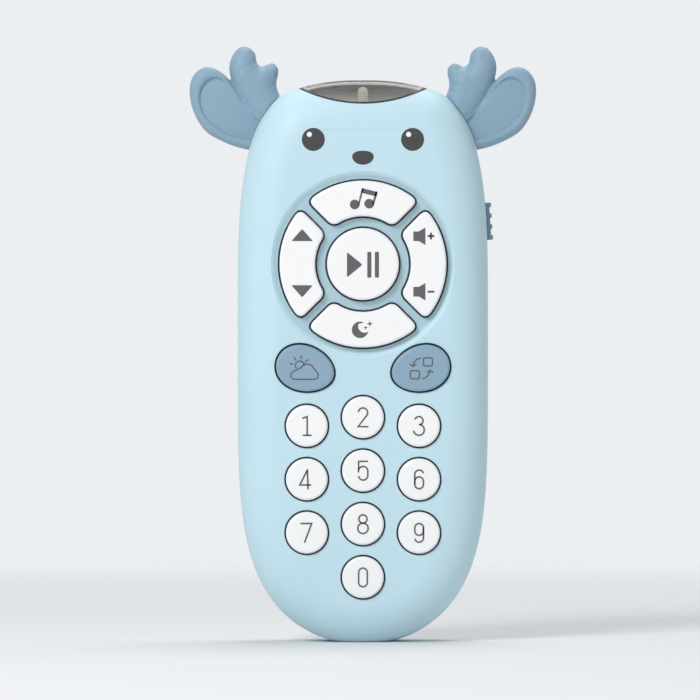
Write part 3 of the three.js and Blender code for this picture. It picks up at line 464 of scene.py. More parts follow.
def rod(name, points, radius):
    """A round wire through points, as a closed mesh."""
    curve = bpy.data.curves.new(name, "CURVE")
    curve.dimensions = "3D"
    curve.bevel_depth = radius
    curve.bevel_resolution = 3
    curve.use_fill_caps = True
    spline = curve.splines.new("POLY")
    spline.points.add(len(points) - 1)
    for knot, point in zip(spline.points, points):
        knot.co = (*point, 1)
    shape = bpy.data.objects.new(name, curve)
    bpy.context.scene.collection.objects.link(shape)
    graph = bpy.context.evaluated_depsgraph_get()
    mesh = bpy.data.meshes.new_from_object(shape.evaluated_get(graph), depsgraph=graph)
    bpy.data.objects.remove(shape)
    bpy.data.curves.remove(curve)
    bm = bmesh.new()
    bm.from_mesh(mesh)
    bpy.data.meshes.remove(mesh)
    return finished(bm, name)


# ---------------------------------------------------------------- shader maths


class Signal:
    """A value in a node tree: Python's arithmetic on it adds Math nodes."""

    def __init__(self, nodes, socket):
        self.nodes = nodes
        self.socket = socket

    def math(self, operation, *values):
        return self.nodes.add("ShaderNodeMath", {"operation": operation}, values)

    def __add__(self, other):
        return self.math("ADD", self, other)

    def __radd__(self, other):
        return self.math("ADD", other, self)

    def __sub__(self, other):
        return self.math("SUBTRACT", self, other)

    def __rsub__(self, other):
        return self.math("SUBTRACT", other, self)

    def __mul__(self, other):
        return self.math("MULTIPLY", self, other)

    def __rmul__(self, other):
        return self.math("MULTIPLY", other, self)

    def __gt__(self, other):
        return self.math("GREATER_THAN", self, other)

    def __lt__(self, other):
        return self.math("LESS_THAN", self, other)


class Nodes:
    """The nodes of a material or of the world, each added by its type, its settings and its sockets."""

    def __init__(self, tree):
        self.tree = tree

    def add(self, kind, settings=None, inputs=(), output=0):
        """Adds a node: its settings first, then its sockets by number or name, and gives one output."""
        node = self.tree.nodes.new(kind)
        for setting, value in (settings or {}).items():
            setattr(node, setting, value)
        pairs = inputs.items() if isinstance(inputs, dict) else enumerate(inputs)
        for socket, value in pairs:
            self.feed(node.inputs[socket], value)
        return Signal(self, node.outputs[output])

    def feed(self, socket, value):
        if isinstance(value, Signal):
            self.tree.links.new(value.socket, socket)
        else:
            socket.default_value = value

    def seen_directly(self):
        """One for rays from the camera, from gloss and through clear pieces, nought for the rest."""
        camera, glossy, through = (self.add("ShaderNodeLightPath", output=f"Is {kind} Ray")
                                   for kind in ("Camera", "Glossy", "Transmission"))
        return camera + glossy + through


class Finish(Nodes):
    """A material round one Principled shader, on the piece's own coordinates."""

    def __init__(self, name, **constants):
        self.material = bpy.data.materials.new(name)
        self.material.use_nodes = True
        super().__init__(self.material.node_tree)
        self.shader = self.tree.nodes["Principled BSDF"]
        for socket, value in constants.items():
            self.set(socket.replace("_", " ").title().replace("Ior", "IOR"), value)
        self.place = self.add("ShaderNodeTexCoord", output="Object")

    def set(self, socket, value):
        self.feed(self.shader.inputs[socket], value)

    def grain(self, size, detail=2.0, roughness=0.5):
        """Noise whose spots are about size across."""
        return self.add("ShaderNodeTexNoise", None,
                        {"Vector": self.place, "Scale": 1 / size, "Detail": detail, "Roughness": roughness})

    def along(self, axis):
        """How far along one axis a place is."""
        return self.add("ShaderNodeSeparateXYZ", None, [self.place], axis)

    def spread(self, signal, low_value, high_value, start=0.3, end=0.7):
        """A signal carried from one range to another."""
        return self.add("ShaderNodeMapRange", None,
                        {"Value": signal, "From Min": start, "From Max": end,
                         "To Min": low_value, "To Max": high_value})

    def blend(self, share, first, second):
        """A colour between two colours."""
        return self.add("ShaderNodeMix", {"data_type": "RGBA"}, {0: share, 6: first, 7: second}, 2)

    def relief(self, height, depth, strength=1.0):
        """Lets a height move the surface's normal."""
        bump = self.add("ShaderNodeBump", None, {"Height": height, "Distance": depth, "Strength": strength})
        self.set("Normal", bump)


def shade_of(base, factor):
    """A colour made lighter or darker."""
    return (*[min(1, part * factor) for part in base[:3]], 1)


def moulded_plastic(name, base, gloss=0.38, tone=0.03, texture=0.00022, depth=0.000006, painted_shade=None):
    """Moulded ABS: a fine spark-eroded texture, faint flow marks and an uneven sheen."""
    finish = Finish(name, IOR=1.45, Coat_Weight=0.05, Coat_Roughness=0.3)
    flow = finish.grain(0.03, 3, 0.55)
    plain = finish.blend(flow, shade_of(base, 1 - tone), shade_of(base, 1 + tone))
    # Where given, painted shade darkens parts of the colour.
    finish.set("Base Color", painted_shade(finish, plain) if painted_shade else plain)
    skin = finish.grain(texture, 3, 0.6)
    finish.set("Roughness", finish.spread(skin + flow * 0.5, gloss - 0.05, gloss + 0.07, 0.5, 1.0))
    finish.relief(skin, depth, 0.6)
    return finish.material


def painted_gap_shade(finish, plain):
    """A key's colour, turned near black below the depth of the dish floor: painted shade, which shows only as
    the dark line in the key's gap.
    """
    # Painted shade: this near-black colour stands in for the shadow in the gap round each key.
    line = (0.03, 0.035, 0.04, 1)
    below = finish.spread(finish.along("Y"), 0, 1, DISH_FLOOR_Y + 0.1 * MM, DISH_FLOOR_Y + 0.4 * MM)
    return finish.blend(below, plain, line)


def painted_dish_shade(finish, plain):
    """The casing's colour darkened on the floor of the dish round the ring of keys: painted shade for the
    recess between the keys.
    """
    x, depth, z = (finish.along(axis) for axis in "XYZ")
    up = z - RING_Z
    in_ring = x * x + up * up < (26.4 * MM) ** 2
    on_floor = finish.spread(depth, 0, 1, DISH_FLOOR_Y - 0.5 * MM, DISH_FLOOR_Y - 0.05 * MM)
    on_floor = on_floor * (depth < DISH_FLOOR_Y + 1 * MM)
    # Painted shade: the dish floor's colour is multiplied by this grey.
    return finish.add("ShaderNodeMix", {"data_type": "RGBA", "blend_type": "MULTIPLY"},
                      {0: in_ring * on_floor, 6: plain, 7: (0.76, 0.77, 0.78, 1)}, 2)


def soft_silicone(name, base, gloss=0.5):
    """Soft silicone: matt, with a fine skin, dust-like specks and a faint bloom."""
    finish = Finish(name, IOR=1.42, Sheen_Weight=0.25, Sheen_Roughness=0.4)
    bloom = finish.grain(0.012, 4, 0.6)
    specks = finish.spread(finish.grain(0.0006, 2, 0.5), 0, 1, 0.66, 0.74)
    base_colour = finish.blend(bloom, shade_of(base, 0.96), shade_of(base, 1.03))
    finish.set("Base Color", finish.blend(specks * 0.12, base_colour, shade_of(base, 1.25)))
    finish.set("Roughness", finish.spread(bloom, gloss - 0.05, gloss + 0.08))
    finish.relief(finish.grain(0.00028, 3, 0.6), 0.000012, 0.6)
    return finish.material


def printed_ink(name, base, gloss=0.45):
    """Pad-printed ink: slightly mottled, with a grain finer than the plastic's."""
    finish = Finish(name, IOR=1.5)
    mottle = finish.grain(0.0005, 4, 0.7)
    finish.set("Base Color", finish.blend(mottle, shade_of(base, 0.9), shade_of(base, 1.1)))
    finish.set("Roughness", finish.spread(mottle, gloss - 0.06, gloss + 0.06))
    finish.relief(finish.grain(0.00012, 2), 0.000004, 0.5)
    return finish.material


def smoked_window(name, base):
    """Lightly smoked clear plastic: a polished skin over a nearly straight view inside."""
    finish = Finish(name, IOR=1.06, Transmission_Weight=0.96, Coat_Weight=0.07, Coat_Roughness=0.06)
    waves = finish.grain(0.008, 2)
    finish.set("Base Color", finish.blend(waves, shade_of(base, 0.94), shade_of(base, 1.04)))
    finish.set("Roughness", finish.spread(waves, 0.03, 0.08))
    finish.relief(waves, 0.00002, 0.15)
    return finish.material


def shaded_reflector(name, base):
    """The lamp's reflector: satin grey plastic, painted darker towards the top of its wall as painted shade
    under the window's roof.
    """
    finish = Finish(name, IOR=1.45)
    flow = finish.grain(0.004, 3)
    height = finish.along("Z")
    # Painted shade: the wall's colour runs to near black towards the top.
    painted_top_shade = finish.spread(height + flow * (0.4 * MM), 0, 1, TOP_Z - 5.4 * MM, TOP_Z - 2.0 * MM)
    finish.set("Base Color", finish.blend(painted_top_shade, shade_of(base, 1), shade_of(base, 0.025)))
    finish.set("Roughness", finish.spread(flow, 0.42, 0.58))
    finish.relief(finish.grain(0.0003, 2), 0.000008, 0.5)
    return finish.material


def clear_epoxy(name, base):
    """The clear resin of a lamp, with a slightly frosted skin."""
    finish = Finish(name, IOR=1.3, Transmission_Weight=0.3)
    haze = finish.grain(0.002, 3)
    finish.set("Base Color", finish.blend(haze, shade_of(base, 0.95), shade_of(base, 1.03)))
    finish.set("Roughness", finish.spread(haze, 0.12, 0.24))
    return finish.material


def plated_metal(name, base, gloss=0.25, brushed=0.0004, tone=0.08):
    """Plated steel: faint handling marks and uneven brightness."""
    finish = Finish(name, Metallic=1.0)
    marks = finish.grain(brushed, 4, 0.7)
    clouds = finish.grain(0.003, 2)
    finish.set("Base Color", finish.blend(clouds, shade_of(base, 1 - tone), shade_of(base, 1 + tone)))
    finish.set("Roughness", finish.spread(marks, gloss - 0.08, gloss + 0.12))
    finish.relief(marks, 0.000006, 0.4)
    return finish.material


def solder_mask(name, base):
    """A circuit board: green mask over straight copper tracks, with bright pads here and there."""
    finish = Finish(name, IOR=1.5, Coat_Weight=0.4, Coat_Roughness=0.12)
    tracks = finish.add("ShaderNodeTexBrick", {"offset": 0.5, "squash": 1.0},
                        {"Vector": finish.add("ShaderNodeMapping", None,
                                              {"Vector": finish.place, "Rotation": (radians(90), 0, 0)}),
                         "Scale": 260.0, "Mortar Size": 0.05, "Brick Width": 1.6, "Row Height": 0.45}, "Fac")
    spots = finish.add("ShaderNodeTexVoronoi", None, {"Vector": finish.place, "Scale": 1 / 0.0042})
    pads = spots < 0.13
    copper = finish.blend(tracks, shade_of(base, 0.85), shade_of(base, 1.35))
    finish.set("Base Color", finish.blend(pads, copper, (0.62, 0.6, 0.55, 1)))
    finish.set("Roughness", finish.spread(finish.grain(0.001, 3), 0.28, 0.42))
    finish.relief(tracks, 0.00003, 0.5)
    return finish.material


def cell_jacket(name, base):
    """A cell's printed film: a band of a second colour, fine silver lines and a seam-free gloss."""
    finish = Finish(name, Metallic=0.35, Coat_Weight=0.5, Coat_Roughness=0.1)
    height = finish.along("Z")
    bottom = low("battery_1").z
    band = (height > bottom + 30 * MM) * (height < bottom + 41 * MM)
    line = (height > bottom + 29.2 * MM) * (height < bottom + 29.7 * MM)
    film = finish.grain(0.004, 3)
    base_colour = finish.blend(film, shade_of(base, 0.92), shade_of(base, 1.08))
    banded = finish.blend(band, base_colour, (0.55, 0.32, 0.12, 1))
    finish.set("Base Color", finish.blend(line, banded, (0.75, 0.75, 0.75, 1)))
    finish.set("Roughness", finish.spread(film, 0.22, 0.34))
    finish.relief(finish.grain(0.0008, 2), 0.00001, 0.3)
    return finish.material


def black_resin(name, base=(0.014, 0.014, 0.016)):
    """Black moulded resin with a dull, dusty skin."""
    finish = Finish(name, IOR=1.5)
    dust = finish.grain(0.0011, 4, 0.7)
    finish.set("Base Color", finish.blend(dust, shade_of(base, 0.8), shade_of(base, 1.9)))
    finish.set("Roughness", finish.spread(dust, 0.4, 0.62))
    finish.relief(finish.grain(0.0002, 2), 0.00001, 0.5)
    return finish.material


def pressed_paper(name, base=(0.022, 0.021, 0.021)):
    """A loudspeaker cone's pressed paper: fibres and fine pits."""
    finish = Finish(name)
    fibres = finish.grain(0.0009, 6, 0.8)
    finish.set("Base Color", finish.blend(fibres, shade_of(base, 0.7), shade_of(base, 2.0)))
    finish.set("Roughness", finish.spread(fibres, 0.75, 0.95))
    finish.relief(fibres, 0.00006, 0.8)
    return finish.material


FINISHES = {}


def make_finishes(context):
    """Makes each finish once, from the colours in the sidebar."""
    colours = context.scene.phone_finishes
    FINISHES.update({
        "shell": moulded_plastic("Shell plastic", colours.shell, 0.5, painted_shade=painted_dish_shade),
        "white_key": moulded_plastic("White key plastic", colours.white_key, 0.34, 0.008, painted_shade=painted_gap_shade),
        "blue_key": moulded_plastic("Blue key plastic", colours.blue_key, 0.4, painted_shade=painted_gap_shade),
        # The slide's plastic is the blue keys' colour darkened: painted shade for the shaded side where it
        # sits.
        "slide": moulded_plastic("Slide plastic", shade_of(colours.blue_key, 0.75), 0.4),
        "ear": soft_silicone("Ear silicone", colours.ear),
        "ink": printed_ink("Key ink", colours.ink),
        "face_ink": printed_ink("Face ink", colours.face_ink, 0.3),
        "white_ink": printed_ink("White ink", (0.9, 0.9, 0.9), 0.3),
        "window": smoked_window("Smoked window", colours.window),
        "reflector": shaded_reflector("Reflector plastic", (0.5, 0.5, 0.49)),
        "epoxy": clear_epoxy("Lamp resin", (0.85, 0.83, 0.76)),
        "steel": plated_metal("Screw steel", (0.56, 0.57, 0.59)),
        "nickel": plated_metal("Nickel contact", (0.66, 0.66, 0.64), 0.2),
        "basket_steel": plated_metal("Stamped steel", (0.46, 0.47, 0.49), 0.35),
        "magnet": plated_metal("Magnet cup", (0.2, 0.2, 0.22), 0.4, tone=0.2),
        "keypad": soft_silicone("Keypad silicone", colours.keypad, 0.6),
        "board": solder_mask("Solder mask", colours.board),
        "black": black_resin("Black resin"),
        "paper": pressed_paper("Cone paper"),
        "jacket": cell_jacket("Cell jacket", colours.jacket),
        "red_wire": soft_silicone("Red wire", (0.45, 0.03, 0.02), 0.4),
        "black_wire": soft_silicone("Black wire", (0.016, 0.016, 0.018), 0.4),
    })


# ---------------------------------------------------------------- the casing's form


def front_path(sizes, inset, steps=14):
    width, depth = sizes.front_edge_width - inset, sizes.front_edge_depth - inset
    return front_roll(FACE_Y + inset, width, depth, steps, inset)


def rear_path(sizes, inset, steps=14):
    width, depth = sizes.rear_edge_width - inset, sizes.rear_edge_depth - inset
    return rear_roll(BACK_Y - inset, width, depth, steps, inset)


def body_form(sizes, name, inset=0.0, front=None, rear=None):
    """The body's solid with its skin moved in by inset, cut square at the depth front or rear where given."""
    behind = rear_path(sizes, inset) if rear is None else [(inset, rear)]
    before = front_path(sizes, inset) if front is None else [(inset, front)]
    return loft(name, body_outline(), behind + before)


def bite_outline(grow=0.0):
    """The circle that bites the window's place out of the crown."""
    middle_z, radius = 188.6 * MM, 38.6 * MM
    return circle_outline(radius + grow, (0, middle_z), 240)


def crown_bite(grow=0.0):
    past = 8 * MM
    return plate("bite", bite_outline(grow), FACE_Y - past, BACK_Y + past)


def slide_frame():
    """The power slide's own frame: x out of the side and z along its travel."""
    side_x, middle_z, lean = 34.55 * MM, 117.5 * MM, radians(-3.5)
    return Matrix.Translation((side_x, 0, middle_z)) @ Matrix.Rotation(lean, 4, "Y")


def ear_neck(name, side, reach, width, thickness, edge=0.0):
    """A bar through the wall at an ear's root, square to the outline there."""
    corner = Vector((reach, thickness, width)) / 2
    bar = brick(name, -corner, corner, edge)
    root_x, root_z, lean = 28.2 * MM, 145.3 * MM, radians(-30)
    place = Matrix.Translation((root_x, 0, root_z)) @ Matrix.Rotation(lean, 4, "Y")
    half_turn = Matrix.Rotation(pi, 4, "Z") if side < 0 else Matrix.Identity(4)
    return moved(bar, half_turn @ place)


def edge_openings():
    """The cutters that pass through both halves: the window's bite, the slide's slot and the ears' holes."""
    slot = brick("slide_slot", (-6 * MM, -2.6 * MM, -7.5 * MM), (6 * MM, 2.6 * MM, 5.5 * MM), 0.4 * MM)
    necks = [ear_neck("neck_hole", side, 14 * MM, 9.6 * MM, 5.2 * MM, 0.3 * MM) for side in (-1, 1)]
    return [crown_bite(), moved(slot, slide_frame()), *necks]


def foot_cutter():
    """A block under the floor, which leaves the chin a flat foot."""
    past = 100 * MM
    return brick("under_foot", (-past, -past, -past), (past, past, 0))


def half_shell(sizes, name, side):
    """One half of the casing as a hollow shell, open at the seam, with its foot cut flat.

    The rear half carries a lip that closes the seam from inside, and the front half a step for it."""
    ease, past_seam = 0.22 * MM, 2 * MM
    lip_inset, lip_reach, play = 1.3 * MM, -0.9 * MM, 0.12 * MM
    outline = body_outline()
    if side < 0:
        shell = loft(name, outline, rear_roll(SEAM_Y, ease, ease, 3) + front_path(sizes, 0))
        step = loft("step", outline, [(lip_inset - play, past_seam), (lip_inset - play, lip_reach - play)])
        return cut(shell, body_form(sizes, "hollow", sizes.wall, rear=past_seam), step, foot_cutter())
    lip = [(lip_inset, -SEAM_Y), (lip_inset, lip_reach)]
    shell = loft(name, outline, rear_path(sizes, 0) + front_roll(-SEAM_Y, ease, ease, 3) + lip)
    return cut(shell, body_form(sizes, "hollow", sizes.wall, front=-past_seam), foot_cutter())


def key_outline(name, grow=0.0):
    """A key's outline in its place, grown all round."""
    centre = middle(name)
    if name in SECTORS:
        return sector_outline(SECTORS[name], grow, (0, RING_Z))
    if name in EGGS:
        return egg_outline(EGGS[name], grow, (centre.x, centre.z - 0.3 * MM))
    radius, steps = (10 * MM, 96) if name == "play_key" else (5.8 * MM, 64)
    return circle_outline(radius + grow, (centre.x, centre.z), steps)


def window_rim(surface, rim, steps=4):
    """Steps (inset, y) of a cutter that leaves a rounded rim, from behind the surface to just before it."""
    angles = [pi / 2 * i / steps for i in range(steps + 1)]
    return [(rim * sin(a), surface + rim * (1 - cos(a)) - TINY * 100) for a in reversed(angles)]


def key_windows(sizes):
    """One cutter for all the key windows, each with a round rim at the face."""
    bm = bmesh.new()
    rim = sizes.window_round
    for name in ALL_KEYS:
        in_dish = name in SECTORS or name == "play_key"
        surface = DISH_FLOOR_Y if in_dish else FACE_Y
        add_loft(bm, key_outline(name, sizes.key_clearance + rim),
                 [(rim, surface + 5 * MM), *window_rim(surface, rim), (0, surface - 2 * MM)])
    return finished(bm, "key_windows")


def dish_cutter(sizes):
    """The shallow dish round the ring of keys, with a soft wall."""
    outer, wall = sizes.dish_radius, 2.1 * MM
    profile = [(0, FACE_Y - 1 * MM), (outer + 0.6 * MM, FACE_Y - 1 * MM), (outer + 0.6 * MM, FACE_Y)]
    steps = 14
    for i in range(steps + 1):
        t = i / steps
        fall = t * t * (3 - 2 * t)
        profile.append((outer - wall * t, FACE_Y + (DISH_FLOOR_Y - FACE_Y) * fall))
    profile.append((0, DISH_FLOOR_Y))
    return turned("dish", profile, (0, 0, RING_Z), segments=160)


class PHONE_OT_front_shell(bpy.types.Operator):
    """Builds the front shell with its dish and its key windows"""
    bl_idname = "toy_phone.front_shell"
    bl_label = "Front Shell"

    def execute(self, context):
        sizes = context.scene.phone_sizes
        shell = half_shell(sizes, "front_casing", -1)
        cut(shell, dish_cutter(sizes))
        cut(shell, key_windows(sizes))
        cut(shell, *edge_openings())
        smooth(shell)
        stand_for(shell, "phone", "shell_blue", FINISHES["shell"], "front_shell")
        return {"FINISHED"}


def hole(name, place, radius, y0, y1, steps=40):
    """A round bar between two depths, at a place's first and last numbers, its x and its z."""
    return plate(name, circle_outline(radius, (place[0], place[-1]), steps), y0, y1)


class PHONE_OT_rear_shell(bpy.types.Operator):
    """Builds the rear shell with its grille, its battery bay and its screw wells"""
    bl_idname = "toy_phone.rear_shell"
    bl_label = "Rear Shell"

    def execute(self, context):
        sizes = context.scene.phone_sizes
        shell = half_shell(sizes, "rear_casing", 1)
        bay_low, bay_high = bay_room()
        inner_back, past_back = BACK_Y - sizes.wall, BACK_Y + 2 * MM
        rooted = inner_back + 0.5 * MM
        screw, screws = middle("door_screw"), [middle(node) for node in CASE_SCREWS]

        ledge = plate("ledge", door_outline(2 * MM), BACK_Y - 4.6 * MM, rooted)
        joined(shell, shared(ledge, body_form(sizes, "inside", sizes.wall / 2)))
        wall = Vector((1, 1, 1)) * 1.4 * MM
        tray_high = bay_high + wall
        joined(shell, brick("tray", bay_low - wall, (tray_high.x, rooted, tray_high.z), 0.5 * MM))
        joined(shell, *[hole("post", place, 3.6 * MM, -SEAM_Y + 0.1 * MM, rooted) for place in screws])
        joined(shell, hole("door_boss", screw, 3.2 * MM, inner_back - 7.5 * MM, rooted))

        cut(shell, plate("recess", door_outline(0.35 * MM), BACK_Y - 2.5 * MM, past_back))
        cut(shell, brick("bay", bay_low, (bay_high.x, past_back, bay_high.z)))
        wells = [hole("well", place, 2.7 * MM, 6.5 * MM, past_back) for place in screws]
        bores = [hole("bore", place, 1.5 * MM, -1 * MM, 8 * MM) for place in screws]
        pilot = hole("pilot", screw, 1.4 * MM, inner_back - 6.7 * MM, past_back)
        cut(shell, one_mesh("wells", wells), one_mesh("bores", bores), pilot)
        grille = [hole("grille_hole", place, 1.1 * MM, inner_back - 1 * MM, BACK_Y + 1 * MM, 24)
                  for place in grille_places()]
        cut(shell, one_mesh("grille", grille))
        cut(shell, *edge_openings())
        smooth(shell)
        stand_for(shell, "phone", "shell_blue", FINISHES["shell"], "rear_shell")
        return {"FINISHED"}


def bay_room():
    """The battery bay's lowest and highest corners, at the back face."""
    side, end = 0.45 * MM, 0.3 * MM
    cells = [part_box(f"battery_{i}") for i in CELLS]
    contacts = [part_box(f"contact_{kind}_{i}") for i in CELLS for kind in ("plate", "spring")]
    left, right = min(box[0].x for box in cells) - side, max(box[1].x for box in cells) + side
    bottom, top = min(box[0].z for box in contacts) - end, max(box[1].z for box in contacts) + end
    return Vector((left, cells[0][0].y - end, bottom)), Vector((right, BACK_Y, top))


def grille_places(pitch=4.4 * MM):
    """The grille's hole places: one in the middle and two rings round it."""
    places = [(0, RING_Z)]
    for ring in (1, 2):
        for i in range(6 * ring):
            x, z = polar(pitch * ring, 2 * pi * i / (6 * ring))
            places.append((x, z + RING_Z))
    return places


class PHONE_OT_battery_door(bpy.types.Operator):
    """Builds the battery door with its thumb grooves and screw hole"""
    bl_idname = "toy_phone.battery_door"
    bl_label = "Battery Door"

    def execute(self, context):
        sizes = context.scene.phone_sizes
        inner, ease, past_back = low("battery_door"), 0.25 * MM, BACK_Y + 3 * MM
        door = loft("door_panel", door_outline(), [*rear_roll(BACK_Y, ease, ease, 3), (0, inner.y)])
        shared(door, body_form(sizes, "outside"))
        half, deep, tall, first, pitch = 7 * MM, 0.6 * MM, 1.1 * MM, 6 * MM, 2.4 * MM
        grooves = []
        for i in range(3):
            z = inner.z + first + pitch * i
            grooves.append(brick("groove", (-half, BACK_Y - deep, z), (half, past_back, z + tall), 0.4 * MM))
        screw = middle("door_screw")
        seat = high("door_screw").y - DOOR_SCREW_HEAD - 0.3 * MM
        cut(door, *grooves, hole("way", screw, 1.4 * MM, 0, past_back),
            hole("head_way", screw, 2.6 * MM, seat, past_back, 48))
        smooth(door)
        stand_for(door, "battery_door", "shell_blue", FINISHES["shell"], "battery_door")
        return {"FINISHED"}


# ---------------------------------------------------------------- keys and their prints


def key_cap(sizes, name):
    """A key from its retaining flange, which a rocking key lacks, to its rounded front."""
    reach, flange = 0.85 * MM, 0.8 * MM
    flange_back = high(name).y - 1 * MM
    if name in ("track_key", "volume_key"):
        held = [(0, flange_back - flange * 0.3)]
    else:
        held = [(-reach, flange_back), (-reach, flange_back - flange), (0, flange_back - flange)]
    front = front_roll(KEY_TOP_Y + 2 * sizes.print_height, sizes.key_round, sizes.key_round, 5)
    return loft(name.replace("_key", "_cap"), key_outline(name), held + front)


def printed(name, outlines, y_surface, height):
    """Printed shapes on a surface at a depth, as thin solids with soft rims."""
    bm = bmesh.new()
    for outline in outlines:
        add_loft(bm, outline, [(0, y_surface + height * 0.5), (0, y_surface - height * 0.6),
                               (height * 0.4, y_surface - height)])
    return finished(bm, name)


def stroke(points, width, closed=False):
    """A line of a given width as a thin flat ribbon, in (x, z)."""
    path = [Vector(p) for p in points]
    count = len(path)
    left, right = [], []
    for i, point in enumerate(path):
        past = path[i - 1] if i or closed else point
        ahead = path[(i + 1) % count] if i < count - 1 or closed else point
        to_here, onward = (point - past), (ahead - point)
        a = to_here.normalized() if to_here.length > TINY else onward.normalized()
        b = onward.normalized() if onward.length > TINY else to_here.normalized()
        bisector = (a + b).normalized() if (a + b).length > 1e-3 else a
        normal = Vector((-bisector.y, bisector.x))
        spread = width / 2 / max(0.5, bisector.dot(a))
        left.append(point + normal * spread)
        right.append(point - normal * spread)
    return left, right


def ribbon(bm, points, width, y_surface, height, closed=False):
    """Adds a stroke to a mesh as a closed thin solid."""
    left, right = stroke(points, width, closed)
    if not closed:
        outward = [Vector(points[0]) - Vector(points[1]), Vector(points[-1]) - Vector(points[-2])]
        ends = []
        for tip, direction in zip((points[0], points[-1]), outward):
            angle = degrees(atan2(direction.y, direction.x))
            ends.append(arc(*tip, width / 2, angle + 90, angle - 90, 5)[1:-1])
        outline = [tuple(p) for p in left] + ends[1] + [tuple(p) for p in reversed(right)] + ends[0]
        add_loft(bm, outline, [(0, y_surface + height * 0.5), (0, y_surface - height)])
        return
    rings = []
    for y in (y_surface + height * 0.5, y_surface - height):
        rings.append([[bm.verts.new((p.x, y, p.y)) for p in side] for side in (left, right)])
    for a, b in ((i, (i + 1) % len(left)) for i in range(len(left))):
        (back_left, back_right), (front_left, front_right) = rings
        bm.faces.new((front_left[a], front_left[b], front_right[b], front_right[a]))
        bm.faces.new((back_left[b], back_left[a], back_right[a], back_right[b]))
        bm.faces.new((back_left[a], back_left[b], front_left[b], front_left[a]))
        bm.faces.new((back_right[b], back_right[a], front_right[a], front_right[b]))


def oval(cx, cz, radius, half_rise, steps=14):
    """A stadium standing up: two half circles joined by straights."""
    return arc(cx, cz + half_rise, radius, 0, 180, steps) + arc(cx, cz - half_rise, radius, 180, 360, steps)


def digit_strokes(digit):
    """A digit's strokes as (points, closed) in millimetres about the key's middle."""
    w, h = 1.2, 2.6
    hook_six = arc(0, h - w, w, 20, 180, 10) + [(-w, -h + w)]
    hook_nine = [(-x, -z) for x, z in hook_six]
    ring_six = oval(0, -0.95, w, h - w - 0.95)
    return {
        0: [(oval(0, 0, w, h - w), True)],
        1: [([(-1.1, h - 0.45), (0.1, h), (0.1, -h)], False), ([(-0.95, -h), (1.15, -h)], False)],
        2: [(arc(0, h - 1.3, 1.3, 165, -38, 14) + [(-1.35, -h), (1.35, -h)], False)],
        3: [(arc(-0.05, h - 1.15, 1.15, 155, -75, 14), False),
            (arc(-0.05, -h + 1.5, 1.5, 84, -165, 16), False)],
        4: [([(0.15, h), (-1.95, -1.55), (1.05, -1.55)], False), ([(0.15, h), (0.35, -h)], False)],
        5: [([(1.25, h), (-1.2, h), (-1.25, -0.3)], False),
            (arc(0.05, -0.1, 1.3, 160, 0, 10) + arc(0.05, -h + 1.3, 1.3, 0, -165, 12), False)],
        6: [(hook_six, False), (ring_six, True)],
        7: [([(-1.6, h), (1.35, h), (-0.6, -h)], False)],
        8: [(circle_outline(1.15, (0, h - 1.15), 22), True),
            (circle_outline(1.45, (0, -h + 1.45), 26), True)],
        9: [(hook_nine, False), ([(-x, -z) for x, z in ring_six], True)],
    }[digit]


def in_place(points, centre, scale=MM):
    return [(centre[0] + x * scale, centre[1] + z * scale) for x, z in points]


def line_art(name, strokes, centre, width, y_surface, height):
    bm = bmesh.new()
    for points, closed in strokes:
        ribbon(bm, in_place(points, centre), width, y_surface, height, closed)
    return finished(bm, name)


def cloud_and_sun():
    """Strokes of the weather print, in millimetres about its key."""
    cloud = arc(-2.85, -2.1, 1.15, 180, 270, 5) + arc(2.55, -2.15, 1.1, 270, 385, 7)
    cloud += arc(0.55, -0.95, 1.95, 30, 150, 10) + arc(-2.7, -2.1, 1.25, 95, 180, 5)[:-1]
    sun = arc(-1.5, 0.6, 1.25, 5, 215, 12)
    rays = []
    for angle in (35, 80, 125, 170):
        start, end = polar(1.95, radians(angle)), polar(2.75, radians(angle))
        rays.append(([(-1.5 + start[0], 0.6 + start[1]), (-1.5 + end[0], 0.6 + end[1])], False))
    return [(cloud, True), (sun, False), *rays]


def swap_boxes():
    """Strokes of the swap print, in millimetres about its key."""
    strokes = [(rectangle(0.75, 0.45, 3.25, 2.7, 0.5), True), (rectangle(-2.9, -3.1, -0.4, -0.85, 0.5), True)]
    sweep = arc(0.1, 0.35, 2.25, 95, 170, 8)
    head = [(-2.95, 0.95), (-2.2, 0.3), (-1.35, 0.95)]
    strokes += [(sweep, False), (head, False)]
    strokes += [([(0.4 - x, -0.4 - z) for x, z in line], False) for line in (sweep, head)]
    return strokes


def speaker_shape(cx, cz):
    """A loudspeaker sign: a square back and a flaring horn."""
    points = [(-1.65, -1.35), (-0.1, -1.35), (1.7, -2.45), (1.7, 2.45), (-0.1, 1.35), (-1.65, 1.35)]
    return rounded([(cx + x, cz + z) for x, z in points], 0.22)


def star(cx, cz, radius):
    points = []
    for i in range(8):
        x, z = polar(radius if i % 2 == 0 else radius * 0.38, pi / 2 + pi * i / 4)
        points.append((cx + x, cz + z))
    return points


def moon(cx, cz):
    """A crescent that opens to the upper right."""
    return arc(cx, cz, 2.3, 62, 348, 26) + arc(cx + 1.25, cz + 1.0, 1.78, -32, -212, 18)[1:-1]


